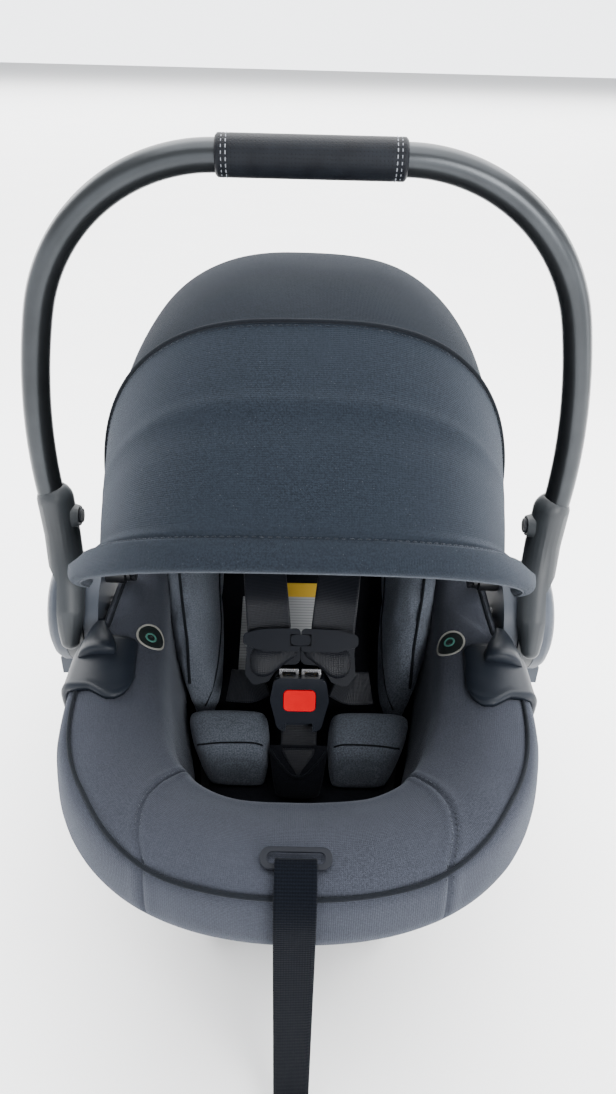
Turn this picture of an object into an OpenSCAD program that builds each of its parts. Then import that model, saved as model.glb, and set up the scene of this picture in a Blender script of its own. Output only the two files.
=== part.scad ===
// Infant carrier car seat: a moulded tub with a padded cover, a swinging carry
// handle, a folding canopy and a five-point harness.
// Axes: +Z up, -Y towards the child's feet, +X to the left of the child.
// Origin: centre of the footprint, on the floor.

/* [Overall] */
// Length from the foot end to the head end of the padded rim
seat_len = 620; // [600:5:640]
// Widest width of the padded rim
seat_w = 364; // [356:2:366]
// Height of the handle pivot above the floor
pivot_z = 236; // [232:1:240]

/* [Handle] */
// Height of the grip's centre line above the pivot
handle_rise = 373; // [368:1:380]
// Diameter of the handle tube
tube_d = 21.5; // [20:0.5:23]
// Length of the sewn grip sleeve
grip_len = 126; // [110:2:150]

/* [Canopy] */
// Angle of the front bow, forward from upright
front_angle = 53; // [50:1:58]
// Angle of the ridge bow, forward from upright
ridge_angle = 24; // [22:1:28]
// Radius of the ridge bow from the canopy pivot to its top
ridge_r = 286; // [280:1:288]

/* [Harness] */
// Width of the shoulder and hip webbing
web_w = 38; // [30:1:38]
// Width of the adjuster strap's webbing
tail_w = 25; // [20:1:26]

/* [Hidden] */
$fn = 48;

// Pivots
pivot_y = -3;
canopy_y = pivot_y;
canopy_z = pivot_z + 36;

// Padded rim, as two half superellipses that meet at its widest line
rim_yc = -125;
rim_front = seat_len / 2 + rim_yc;
rim_rear = seat_len / 2 - rim_yc;
rim_low = pivot_z + 10;
rim_turn = -145;
hub_inset = 11;

// Cavity edge, and the floor inside it
cav_yc = -60;
cav_front = 164;
cav_rear = 322;
cav_half = 115;
pan_z = 124;
pan_y = -110;
recline = 0.53;
floor_scale = 0.86;
floor_c = [0, -30];

// Thicknesses
cover_t = 6;
skin_gap = 2.4;
wall_t = 4;
lining_t = 9;

// Shell base
base_half = 100;
base_yc = -40;
base_len = 150;
base_z = 22;
shell_drop = 14;
shell_inset = 3.5;

// Ring resolution
around = 80;

// Hub stack, along X from the middle of the seat
base_x = 173.5;
ring_x = 187;
cover_x = 203.5;
hub_out = 220;
hub_r = 49;
bolt_r = 6;
run_gap = 0.05;

// ---------- helpers ----------
function lerp(a, b, t) = a + (b - a) * t;
function clamp01(x) = min(1, max(0, x));
function sstep(x) = let (c = clamp01(x)) c * c * (3 - 2 * c);
function spow(v, e) = sign(v) * pow(abs(v), e);
function unit(v) = v / norm(v);
function mean(pts) = [for (k = [0:2]) [for (p = pts) p[k]] * [for (p = pts) 1 / len(pts)]];
function flip(p) = [-p[0], p[1], p[2]];

// Signed volume of a triangle soup, used to turn faces the right way out
function volume(pts, faces) =
    [for (f = faces) cross(pts[f[0]], pts[f[1]]) * pts[f[2]]] * [for (f = faces) 1];

// Solid through closed rings of points, joined round as a torus or capped at both ends.
// A folded ring runs out along one face and back along the other, and is capped across them.
module skin(rings, torus = false, folded = false) {
    n = len(rings);
    m = len(rings[0]);
    e = (n - 1) * m;
    ring_pts = [for (r = rings) each r];
    pts = torus || folded ? ring_pts : concat(ring_pts, [mean(rings[0]), mean(rings[n - 1])]);
    sides = [
        for (i = [0:n - (torus ? 1 : 2)], j = [0:m - 1])
            let (k = (i + 1) % n, l = (j + 1) % m)
                each [[i * m + j, i * m + l, k * m + l], [i * m + j, k * m + l, k * m + j]]
    ];
    fans = [for (j = [0:m - 1]) let (l = (j + 1) % m) each [[n * m, l, j], [n * m + 1, e + j, e + l]]];
    strips = [
        for (j = [0:m / 2 - 2]) let (a = j + 1, b = m - 1 - j, c = m - 2 - j)
            each [[a, j, b], [a, b, c], [e + b, e + j, e + a], [e + c, e + b, e + a]]
    ];
    faces = concat(sides, torus ? [] : folded ? strips : fans);
    outward = volume(pts, faces) < 0;
    polyhedron(pts, outward ? faces : [for (f = faces) [f[2], f[1], f[0]]], convexity = 10);
}

// Catmull-Rom curve through points, k steps to a span
function curve(p, k) = concat(
    [for (i = [0:len(p) - 2], s = [0:k - 1])
        let (a = p[max(i - 1, 0)], b = p[i], c = p[i + 1], d = p[min(i + 2, len(p) - 1)], t = s / k)
            0.5 * (2 * b + (c - a) * t + (2 * a - 5 * b + 4 * c - d) * t * t
                + (3 * b - a - 3 * c + d) * t * t * t)],
    [p[len(p) - 1]]);

// Rings of a 2D profile carried along a path; side is the profile's own X direction
function swept(path, profile, side) = [
    for (i = [0:len(path) - 1])
        let (
            t = unit(path[min(i + 1, len(path) - 1)] - path[max(i - 1, 0)]),
            s = unit(side - (side * t) * t),
            v = cross(t, s)
        ) [for (q = profile) path[i] + q[0] * s + q[1] * v]
];

// Webbing section, w wide and t thick, with eased edges
function web(w, t) = let (e = t / 3) [
    [-w / 2, -t / 2 + e], [-w / 2 + e, -t / 2], [w / 2 - e, -t / 2], [w / 2, -t / 2 + e],
    [w / 2, t / 2 - e], [w / 2 - e, t / 2], [-w / 2 + e, t / 2], [-w / 2, t / 2 - e]
];
function disc(r, n) = [for (i = [0:n - 1]) r * [cos(360 * i / n), sin(360 * i / n)]];

// ---------- rim, cavity and floor ----------
function half_oval(t, a, yc, front, rear, nf, nr) =
    let (n = sin(t) < 0 ? nf : nr, b = sin(t) < 0 ? front : rear)
        [a * spow(cos(t), 2 / n), yc + b * spow(sin(t), 2 / n)];
function rim_z(y) = rim_low + (y < rim_turn ? 0.00045 : 0.00061) * pow(y - rim_turn, 2);
function near_hub(y) = sstep((90 - abs(y - pivot_y)) / 30);
// Rim outline, inset by d
function rim(t, d = 0) =
    let (p = half_oval(t, seat_w / 2 - d, rim_yc, rim_front - d, rim_rear - d, 2.2, 2.6))
        [p[0] - sign(p[0]) * min(abs(p[0]), hub_inset * near_hub(p[1])), p[1]];
function cavity(t) =
    let (p = half_oval(t, cav_half, cav_yc, cav_front, cav_rear, 3.4, 2.8))
        [p[0] * (1 + 0.001 * (p[1] - cav_yc)), p[1]];
function floor_edge(t) = lerp(cavity(t), floor_c, 1 - floor_scale);
function floor_z(y) =
    let (h = recline * (y - pan_y)) pan_z + (h + sqrt(h * h + 500)) / 2;

// Angle at which the rim passes a given y on the +X side
function rim_at(y) = let (
        n = y < rim_yc ? 2.2 : 2.6,
        k = (y - rim_yc) / (y < rim_yc ? rim_front : rim_rear)
    ) asin(spow(k, n / 2));
// Where the face of the cavity wall stands at a given y and height
function wall_x(y, z) = let (
        n = y < cav_yc ? 3.4 : 2.8,
        e = abs(y - cav_yc) / (y < cav_yc ? cav_front : cav_rear),
        c = cav_half * (1 + 0.001 * (y - cav_yc)) * pow(1 - pow(e, n), 1 / n),
        k = (z - floor_z(y)) / (rim_z(y) - 14 - floor_z(y))
    ) lerp(floor_scale * c, c, k);

// Section of the padded rim at angle t, sunk by d under its outer face.
// It runs from the hem outside, over the crown, down the cavity wall to the floor.
function lip(t, d) =
    let (
        o = rim(t), c = cavity(t), f = floor_edge(t), z = rim_z(o[1]),
        zc = rim_z(c[1]), hem = lerp(40, 12, near_hub(o[1])),
        w = norm(c - o), n = (c - o) / w,
        wall = norm(f - c), zf = floor_z(f[1]) + 4,
        flat = [
            [2 + d, z - hem - 8], [d, z - hem + 4], [3 + d, z - 6 - 0.5 * d],
            [14 + 0.4 * d, z + 3 - d], [0.45 * w, lerp(z, zc, 0.45) + 6 - 3 * near_hub(o[1]) - d],
            [0.82 * w, zc - 1 - d], [w - d, zc - 12 - 0.4 * d],
            [w + wall * 0.35 - d, lerp(zc, zf, 0.42)], [w + wall - d, zf + 1]
        ]
    ) [for (q = flat) [o[0] + n[0] * q[0], o[1] + n[1] * q[0], q[1]]];

function steps() = [for (i = [0:around - 1]) let (u = 360 * (i + 0.5) / around) u - 12.9 * sin(2 * u)];
function backwards(v) = [for (i = [len(v) - 1:-1:0]) v[i]];

// Tub wall: s runs from the flat base to the rim, d is the depth under the outer face.
// It bulges at the sides and back, and is nearly straight under the foot end.
function tub(t, s, d) =
    let (
        b = half_oval(t, base_half - d, base_yc, base_len - d, base_len - d, 2.6, 2.6),
        r = rim(t, cover_t + shell_inset + d), o = rim(t),
        zb = base_z + d, zr = rim_z(o[1]) - shell_drop, up = 1 - cos(90 * s),
        xy = lerp(b, r, lerp(sin(90 * s), pow(up, 0.8), sstep((-90 - o[1]) / 120)))
    ) [xy[0], xy[1], zb + (zr - zb) * up];
function tub_ring(s, d) = [for (t = steps()) tub(t, s, d)];

module shell() {
    color("dimgray") difference() {
        skin(concat(
            [for (i = [0:9]) tub_ring(i / 9, 0)],
            [for (i = [9:-1:0]) tub_ring(i / 9, wall_t)]));
        hub_holes(-1);
        hub_holes(1);
        at_release() release_block(window_w, window_h, 12, 40);
    }
}

// ---------- base ----------
skid_x = 84;
skid_w = 16;
bar_r = 5;
bar_y = [-92, 60];
bar_z = 11;

// Rocker rail under the tub: flat in the middle, curling up towards both ends
module skid(side) {
    color("dimgray")
    translate([side * skid_x - skid_w / 2, 0, 0])
    rotate([90, 0, 90])
    linear_extrude(skid_w)
    difference() {
        polygon(concat(
            [[-88, 0], [50, 0]],
            [for (a = [8:8:40]) [50 + 200 * sin(a), 200 * (1 - cos(a))]],
            [[176, 54], [150, 36], [110, base_z - 0.6], [-140, base_z - 0.6], [-172, 20], [-176, 16]],
            [for (a = [28:-7:7]) [-88 - 160 * sin(a), 160 * (1 - cos(a))]]));
        translate([bar_y[0], bar_z]) circle(r = bar_r + 4.1);
        translate([bar_y[1], bar_z]) circle(r = bar_r + 4.1);
    }
}

// Steel rod that a base or pushchair latch grips
module latch_bar(y) {
    color("silver") translate([-skid_x - 20, y, bar_z]) rotate([0, 90, 0])
        cylinder(r = bar_r, h = 2 * skid_x + 40);
}

// Bushes that carry the two rods in the rails
module bar_brackets() {
    color("gray")
    for (s = [-1, 1], y = bar_y)
        translate([s * skid_x - skid_w / 2 - 1, y, bar_z]) rotate([0, 90, 0])
            difference() {
                cylinder(r = bar_r + 4, h = skid_w + 2);
                translate([0, 0, -1]) cylinder(r = bar_r + 0.1, h = skid_w + 4);
            }
}

// ---------- padding ----------
// Foam between the tub and the cover, as a ring round the cavity
module foam_ring() {
    d = cover_t + skin_gap;
    color("black")
    difference() {
        skin([for (t = steps()) let (
                top = lip(t, d),
                out = [for (s = [1, 0.94, 0.86, 0.76, 0.66]) tub(t, s, wall_t + skin_gap)],
                last = out[4], foot = top[8]
            ) concat(
                [for (i = [3:8]) top[i]],
                [[foot[0], foot[1], foot[2] - 16], lerp([foot[0], foot[1], foot[2] - 16], last, 0.5)],
                backwards(out))
        ], torus = true);
        adjuster_pocket(1);
        hub_holes(-1);
        hub_holes(1);
        at_release() release_block(window_w, window_h, 12, 40);
    }
}

// Room for the strap adjuster in the front of the rim
adj_y = -284;
adj_z = rim_z(-310) - 6;
module adjuster_pocket(gap) {
    translate([-tail_w / 2 - 4 - gap, adj_y - 13 - gap, adj_z - 16 - gap])
        cube([tail_w + 8 + 2 * gap, 25 + 2 * gap, 32 + 2 * gap]);
}

// Padded fabric cover over the rim and down the cavity wall
module seat_cover() {
    color("darkslategray")
    difference() {
        skin([for (t = steps()) concat(lip(t, 0), backwards(lip(t, cover_t)))], torus = true);
        translate([-tail_w / 2 - 6, adj_y - 9, adj_z - 4]) cube([tail_w + 12, 12, 60]);
        hub_holes(-1);
        hub_holes(1);
    }
}

// Rings that shrink the floor outline towards its middle, at depth d
function floor_rings(inset, d, list) = [
    for (k = list) [for (t = steps())
        let (f = floor_edge(t), q = lerp(floor_c, f, k * (1 - inset)))
            [q[0], q[1], floor_z(q[1]) - d]]
];

// Firm board under the lining that closes the bottom of the cavity
module seat_lining() {
    ks = [0.06, 0.3, 0.55, 0.8, 1];
    color("dimgray")
        skin(concat(floor_rings(0.07, lining_t + 0.8, ks), backwards(floor_rings(0.07, lining_t + 16, ks))));
}

// Soft pad that the child lies on
module back_pad() {
    ks = [0.06, 0.3, 0.55, 0.8, 1];
    color("black")
        skin(concat(floor_rings(0.09, 0, ks), backwards(floor_rings(0.09, lining_t, ks))));
}

// Side bolster along the torso: stations give y, height above the floor, and thickness
bolster_st = [
    [-66, 44, 16], [-58, 66, 26], [-40, 82, 32], [-10, 86, 34], [30, 82, 34],
    [70, 76, 33], [98, 66, 29], [118, 46, 20]
];
bolster_sec = [[0, 0], [0, 0.5], [0.04, 0.84], [0.4, 1], [0.82, 0.87], [1, 0.5], [1, 0.1], [0.8, 0]];
module bolster(side) {
    color("dimgray")
    skin([for (q = bolster_st)
        [for (e = bolster_sec) let (z = floor_z(q[0]) + 1.5 + q[1] * e[1])
            [side * (wall_x(q[0], z) - 3 - 0.06 * max(0, q[0] - 30) - e[0] * q[2]), q[0], z]]
    ]);
}

// Thigh pads that stand either side of the crotch strap
thigh_front = -127;
thigh_back = -77;
module thigh_pad(side) {
    color("dimgray")
    skin([for (q = [[0, 0.86], [0.07, 0.97], [0.4, 1], [0.85, 0.97], [1, 0.88]])
        [for (e = [[0, 0.12], [0.04, 0], [1, 0], [1, 0.7], [0.85, 0.98], [0.2, 1], [0.03, 0.9], [0, 0.7]])
            let (
                y = lerp(thigh_front, thigh_back, e[0]) + 4 * (1 - q[1]),
                z = floor_z(y) + 1.5 + 52 * e[1] * q[1] * (1 - 0.12 * e[0])
            ) [side * lerp(25.5, wall_x(y, z) - 4 - 0.5 * max(0, -100 - y), q[0]), y, z]]
    ]);
}

// Head pillow at the top of the back
module head_pad() {
    color("dimgray")
    skin([for (a = [-80:16:80]) let (
            x = 62 * sin(a), y = 186 - 22 * (1 - cos(a)), k = 0.55 + 0.45 * cos(a)
        ) [for (e = [[-1, 0], [-0.8, 0.7], [0, 1], [0.8, 0.7], [1, 0], [0.6, -0.1], [-0.6, -0.1]])
            [x * (1 + 0.12 * e[0]), y + 13 * e[0], floor_z(y + 13 * e[0]) + 2.5 + 22 * k * (e[1] + 0.1)]]
    ]);
}

// ---------- belt guides ----------
// Moulded saddle over the rim, with a horn at its back that keeps the vehicle belt in place
guide_y0 = -142;
guide_y1 = -82;
guide_gap = 2.6;
guide_skin = 3.2;
horn_line = [[-52, 5], [-60, 7.6], [-72, 10.6], [-84, 13], [-94, 14], [-101, 13.6]];
horn_w = [7, 11, 14, 15.5, 15.5, 14];
horn_t = [2, 3.4, 4.2, 4.2, 4, 3];
function guide_section(y) = let (t = rim_at(y), a = lip(t, -guide_gap), b = lip(t, -guide_gap - guide_skin))
    concat([for (i = [1:5]) a[i]], [for (i = [5:-1:1]) b[i]]);
module belt_guide(side) {
    color("black")
    if (side > 0) guide_body();
    else mirror([1, 0, 0]) guide_body();
}
module guide_body() {
    union() {
        skin([for (i = [0:8]) guide_section(lerp(guide_y0, guide_y1, i / 8))], folded = true);
        skin([for (i = [0:3]) let (y = [-90, -84, -76, -66][i], g = lip(rim_at(y), 0)[4])
            [for (q = disc(1, 12)) [g[0] + [12, 14, 13, 9][i] * q[0], y, g[2] + 2.4 + [5, 7, 6.4, 4][i] * (1 + q[1])]]]);
        skin([for (i = [0:5]) let (y = horn_line[i][0], g = lip(rim_at(y), 0)[4])
            [for (q = disc(1, 14))
                [g[0] + horn_w[i] * q[0], y, g[2] + horn_line[i][1] + horn_t[i] * q[1] - 0.012 * pow(horn_w[i] * q[0], 2)]]]);
    }
}

// ---------- hubs and handle ----------
module at_hub(side, x) {
    translate([side * x, pivot_y, pivot_z]) rotate([0, side * 90, 0]) children();
}

screw_ring = 32;
screw_r = 2.5;
module at_screws(side) {
    for (a = [-30, 30]) rotate([0, 0, a]) translate([screw_ring * side, 0, 0]) children();
}
// Clearance through the tub and padding for the bolt, its nut and the screws
module hub_holes(side) {
    at_hub(side, 146) {
        cylinder(r = bolt_r + 1, h = 30);
        cylinder(r = 14, h = 13);
        at_screws(side) {
            cylinder(r = screw_r + 0.4, h = 30);
            cylinder(r = 5.5, h = 13);
        }
    }
}
module hub_base(side) {
    color("dimgray")
    difference() {
        union() {
            at_hub(side, base_x) cylinder(r = hub_r - 2, h = ring_x - base_x - 0.5);
            translate([side * (base_x - 3.2), pivot_y, pivot_z - 28]) cube([8, 60, 36], center = true);
        }
        at_hub(side, base_x - 12) cylinder(r = bolt_r + run_gap, h = 30);
        at_hub(side, base_x - 12) at_screws(side) cylinder(r = screw_r + run_gap, h = 30);
    }
}

// Screws that hold the hub bases to the tub
module hub_screws() {
    color("silver")
    for (s = [-1, 1]) at_hub(s, 154) at_screws(s) {
        cylinder(r = 4.5, h = 2.5);
        cylinder(r = screw_r, h = 31);
    }
}

module pivot_bolt(side) {
    color("silver")
    at_hub(side, 150) {
        cylinder(r = bolt_r, h = 66);
        cylinder(r = 12, h = 5, $fn = 6);
    }
}

// Fixed outer cover with the socket that sits on a pushchair adapter
flange_x = 212;
socket_z = pivot_z - hub_r - 1;
latch_r = 2;
module hub_cover(side) {
    color("gray")
    difference() {
        union() {
            at_hub(side, cover_x)
                rotate_extrude($fn = 72)
                    polygon([[0, 0], [hub_r, 0], [hub_r, 7], [hub_r - 3, 12], [hub_r - 9, 15.5], [0, 16.5]]);
            translate([side * flange_x, pivot_y - 5, socket_z]) cube([13, 42, 18], center = true);
        }
        at_hub(side, cover_x - 1) cylinder(r = bolt_r + run_gap, h = 14);
        translate([side * flange_x, pivot_y + 2, socket_z - 4]) cube([8, 20, 14], center = true);
        translate([side * flange_x, pivot_y - 7, socket_z - 5]) rotate([90, 0, 0])
            cylinder(r = latch_r + run_gap, h = 13);
    }
}
// Sprung catch in the adapter socket
module adapter_latch(side) {
    color("silver")
    translate([side * flange_x, pivot_y - 2.5, socket_z - 5]) rotate([90, 0, 0])
        cylinder(r = latch_r, h = 13);
}

// Arm: the drum that turns on the pivot bolt, and the sleeve that holds the tube
arm_line = [[206, -6, 113], [204.6, -7, 80], [199.5, -24, 52], [196.5, -44, 26], [195.5, -56, 4]];
arm_r = [15, 15, 15, 13, 8];
module arm(side) {
    color("dimgray")
    difference() {
        union() {
            at_hub(side, ring_x) cylinder(r = hub_r, h = cover_x - ring_x - 0.5);
            for (i = [0:3]) hull() for (j = [i, i + 1])
                translate([side * arm_line[j][0], pivot_y + arm_line[j][1], pivot_z + arm_line[j][2]])
                    sphere(r = arm_r[j], $fn = 24);
            translate([side * (button_x + 2), button_y, button_z]) rotate([0, side * 90, 0])
                cylinder(r1 = 8.5, r2 = 10.5, h = 6);
        }
        at_hub(side, ring_x - 1) cylinder(r = bolt_r + run_gap, h = 20);
        at_hub(side, ring_x - 20) cylinder(r = hub_r + 1.2, h = 20);
        at_hub(side, cover_x - 0.5) cylinder(r = hub_r + 1.2, h = 18);
        at_hub(side, 204.5) cylinder(r = 66, h = 18);
        tube_socket(side);
        button_pocket(side);
    }
}

// Thumb button on the inner face of each sleeve
button_y = pivot_y - 7;
button_z = pivot_z + 98;
button_x = 185;
module button_pocket(side) {
    translate([side * (button_x + 1), button_y, button_z]) rotate([0, side * 90, 0])
        cylinder(r = 6 + run_gap, h = 8.3);
}
module handle_button(side) {
    color("black")
    translate([side * button_x, button_y, button_z]) rotate([0, side * 90, 0])
        cylinder(r = 6, h = 7.5);
}

// Bent tube: two large bends and two long slow ones, mirror images
bend_r = 138;
bend_x = 62;
bow_r = 480;
function bend(a) = [bend_x + bend_r * sin(a), handle_rise - bend_r + bend_r * cos(a)];
bow_c = bend(76) - bow_r * [sin(76), cos(76)];
function half_bow() = concat(
    [[0, handle_rise], [31, handle_rise]],
    [for (a = [0:7.6:76]) bend(a)],
    [for (a = [79:2.5:97]) bow_c + bow_r * [sin(a), cos(a)]],
    [[bow_c[0] + bow_r * sin(98), bow_c[1] + bow_r * cos(98) - 5]]);
function bow_path() = let (h = [for (p = half_bow()) [p[0], pivot_y - 6, pivot_z + p[1]]])
    concat(backwards(h), [for (i = [1:len(h) - 1]) flip(h[i])]);
module tube_socket(side) {
    h = [for (p = half_bow()) if (p[1] < 190) [side * p[0], pivot_y - 6, pivot_z + p[1]]];
    n = len(h) - 1;
    skin(swept(concat(h, [h[n] + unit(h[n] - h[n - 1]) * 1.5]), disc(tube_d / 2 + 0.3, 16), [0, 1, 0]));
}
module handle_tube() {
    color("slategray")
        skin(swept(bow_path(), disc(tube_d / 2, 16), [0, 1, 0]));
}

// Sewn sleeve round the top of the tube
module grip_sleeve() {
    color("black")
    translate([-grip_len / 2, pivot_y - 6, pivot_z + handle_rise]) rotate([0, 90, 0])
        difference() {
            cylinder(r = tube_d / 2 + 2.8, h = grip_len);
            translate([0, 0, -1]) cylinder(r = tube_d / 2 + 0.2, h = grip_len + 2);
        }
}

// ---------- canopy ----------
canopy_a = 153;
brim_a = 180;
front_r = 262;
rear_a = 154;
rear_r = 268;
canopy_n = 2.9;
step_down = 12;
cloth_t = 3;
// Point on an arch of half width a and height r in the plane at angle al; u runs 0 to 180
function arch_at(al, q, x) = [x, canopy_y - q * sin(al), canopy_z + q * cos(al)];
function arch_q(u, r, n) = r * spow(sin(u), 2 / n);
function arch_x(u, a, n) = a * spow(cos(u), 2 / n);
function arch(al, u, a, r, n) = arch_at(al, arch_q(u, r, n), arch_x(u, a, n));
function arch_u(gap) = [for (i = [0:26]) lerp(gap, 180 - gap, i / 26)];

// Angle at which a point of the rear panel comes down onto the rim
function landing(q, al, k) = k == 0 ? al : landing(q,
    -acos(max(-0.6, min(0.6, (rim_z(canopy_y - q * sin(al)) + 9 - canopy_z) / q))), k - 1);

// Cloth over an arch: a0 to a1 in angle, with half width, radius and sag between its edges
function cloth_ring(u, a0, a1, h0, h1, r0, r1, d) = [
    for (i = [0:6]) let (k = i / 6)
        arch(lerp(a0, a1, k), u, lerp(h1, h0, pow(1 - k, 8)) - d, lerp(r0, r1, k) - d - 2 * sin(180 * k), canopy_n)
];
module canopy_front_panel() {
    color("darkslategray")
    skin([for (u = arch_u(4)) concat(
        cloth_ring(u, front_angle - 0.7, ridge_angle, brim_a - 2, canopy_a, front_r, ridge_r, 0),
        backwards(cloth_ring(u, front_angle - 0.7, ridge_angle, brim_a - 2, canopy_a, front_r, ridge_r, cloth_t)))],
        folded = true);
}
module canopy_rear_panel() {
    color("darkslategray")
    skin([for (u = arch_u(4)) let (a1 = landing(arch_q(u, rear_r, canopy_n), -80, 8), a0 = ridge_angle - 3.2) concat(
        cloth_ring(u, a0, a1, rear_a + 1, rear_a, ridge_r - step_down, rear_r, 0),
        backwards(cloth_ring(u, a0, a1, rear_a + 1, rear_a, ridge_r - step_down, rear_r, cloth_t)))],
        folded = true);
}

// Padded hem along the front edge, fuller towards its tips
brim_gap = 9;
module canopy_brim() {
    nrm = [0, -cos(front_angle), -sin(front_angle)];
    color("darkslategray")
    skin([for (u = arch_u(brim_gap)) let (
            k = pow(abs(cos(u)), 3), c = arch(front_angle, u, brim_a - 3, front_r - 4, 2.5),
            o = unit(arch(front_angle, u, brim_a + 10, front_r + 10, 2.5) - c), h = 8 + 4 * k
        ) [for (q = disc(1, 12)) c + (4.6 + 1.2 * k) * q[0] * o + h * (q[1] + 1) * nrm]]);
}

// Flat plastic bow under the cloth at angle al, with legs down to the canopy pivot
bow_gap = 8;
module bow(al, half, r, x) {
    skin(swept([for (u = arch_u(bow_gap)) arch(al, u, half, r, canopy_n)], web(9, 2.4), [0, cos(al), sin(al)]));
    for (s = [-1, 1]) canopy_leg(s, al, half, r, x);
}
module front_bow() {
    color("black") union() bow(front_angle - 4, canopy_a - 15, front_r - 7, 149);
}
module ridge_bow() {
    color("black") union() bow(ridge_angle, canopy_a - 10, ridge_r - 7, 153.5);
}
module canopy_leg(side, al, half, r, x) {
    tip = arch(al, bow_gap + 1, half, r, canopy_n);
    translate([side * x, canopy_y, canopy_z]) rotate([0, 90, 0]) difference() {
        cylinder(r = 7, h = 3, center = true);
        cylinder(r = 4.05, h = 14, center = true);
    }
    hull() {
        translate([side * x, canopy_y - 6 * sin(al), canopy_z + 6 * cos(al)]) rotate([al, 0, 0])
            cube([3, 8, 2], center = true);
        translate([side * tip[0], tip[1], tip[2]]) rotate([al, 0, 0]) cube([2.4, 8, 6], center = true);
    }
}
// Stud on the seat's side that the bows turn on
module canopy_pivot(side) {
    color("dimgray")
    translate([side * 147, canopy_y, canopy_z]) rotate([0, side * 90, 0]) {
        cylinder(r = 4, h = 26.3);
        translate([0, 0, 9.5]) cylinder(r = 9, h = 16.8);
    }
}

// ---------- harness ----------
clip_c = [0, -80, 248];
clip_tilt = 48.5;
strap_t = 1.6;
module straps_pair(pts, w, t, lean, k) {
    for (s = [-1, 1])
        skin(swept([for (p = curve(pts, k)) [s * p[0], p[1], p[2]]], web(w, t), [1, lean * s, 0]));
}
shoulder_line = [
    [42, 146, 263], [42, 128, 273], [41, 90, 289], [38, 35, 298], [33, -15, 294], [29, -50, 281],
    [26.5, -66.8, 263], [25, -80, 248], [24, -87, 240]
];
module shoulder_straps() {
    color("black") straps_pair(shoulder_line, web_w - 2, strap_t, 0, 4);
}
// Soft sleeves round the shoulder straps
module shoulder_pads() {
    color("black")
    for (s = [-1, 1]) {
        path = [for (p = curve([for (i = [1:4]) shoulder_line[i]], 4)) [s * p[0], p[1], p[2]]];
        n = len(path) - 1;
        longer = [for (i = [0:n]) path[i] + (i == 0 ? -3 : i == n ? 3 : 0)
            * unit(path[min(i + 1, n)] - path[max(i - 1, 0)])];
        difference() {
            skin(swept(path, [for (q = disc(1, 14)) [(web_w / 2 + 5) * q[0], 7 * q[1]]], [1, 0, 0]));
            skin(swept(longer, web(web_w + 0.6, strap_t + 1.6), [1, 0, 0]));
        }
    }
}
hip_line = [[30, -82, 221], [41, -78, 210], [52, -73, 205], [61, -69, 202]];
module hip_straps() {
    color("black") straps_pair(hip_line, web_w - 10, strap_t, 0.9, 5);
}

// Buckle, in its own frame: Y up its face, Z out of it
buckle_c = [0, -97, 212];
buckle_tilt = 20;
module at_buckle() {
    translate(buckle_c) rotate([90 - buckle_tilt, 0, 0]) children();
}
module buckle_outline(grow) {
    offset(r = 7 + grow)
        polygon([[-12, -16], [12, -16], [17, 4], [15, 16], [-15, 16], [-17, 4]]);
}
module button_shape(h, grow) {
    linear_extrude(h) offset(r = 4 + grow) square([18, 10], center = true);
}
// Front moulding, forked at the bottom for the crotch webbing
module buckle_front() {
    color("dimgray")
    at_buckle() difference() {
        translate([0, 0, 0.1]) linear_extrude(10) buckle_outline(0);
        translate([0, 4, 0.8]) button_shape(12, 0.4);
        translate([-11, -30, -1]) cube([22, 14, 14]);
        translate([-18, 9, -1]) cube([36, 18, 3.4]);
    }
}
module buckle_back() {
    color("black")
    at_buckle() difference() {
        translate([0, 0, -8]) linear_extrude(8) buckle_outline(-0.6);
        translate([-16, -30, -4.4]) cube([32, 17, 2.8]);
        translate([-18, 8, -3]) cube([36, 20, 4]);
    }
}
module buckle_button() {
    color("red") at_buckle() translate([0, 4, 3.4]) button_shape(7.4, 0);
}
// Metal tongues on the ends of the hip and shoulder straps
module buckle_tongues() {
    color("silver") at_buckle() for (s = [-1, 1])
        translate([s * 9.2, 0, -1.2]) difference() {
            translate([-8, 10, 0]) cube([16, 17.6, 2.2]);
            translate([-5.5, 22.4, -1]) cube([11, 2.6, 5]);
        }
}

// Crotch webbing from the seat pan up into the buckle
crotch_line = [
    [0, -133.5, 138], [0, -135, 149], [0, -131, 160.5], [0, -121, 170], [0, -111, 177.5],
    [0, -104, 185.5], [0, -99.9, 195.6]
];
module crotch_strap() {
    color("black") skin(swept(curve(crotch_line, 3), web(30, strap_t), [1, 0, 0]));
}
// Soft sleeve round the crotch webbing
crotch_pad_line = [[0, -133.8, 140.5], [0, -135, 149], [0, -131, 160.5], [0, -121, 170], [0, -113, 176]];
module crotch_pad() {
    path = curve(crotch_pad_line, 3);
    n = len(path) - 1;
    color("black") difference() {
        skin([for (i = [0:n]) let (
                k = i / n, t = unit(path[min(i + 1, n)] - path[max(i - 1, 0)]), v = cross(t, [1, 0, 0])
            ) [for (q = disc(1, 16)) path[i] + (18 + 6 * k) * q[0] * [1, 0, 0] + (5 + k) * q[1] * v]]);
        skin(swept(curve(crotch_line, 3), web(31, strap_t + 1.4), [1, 0, 0]));
    }
}

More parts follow.
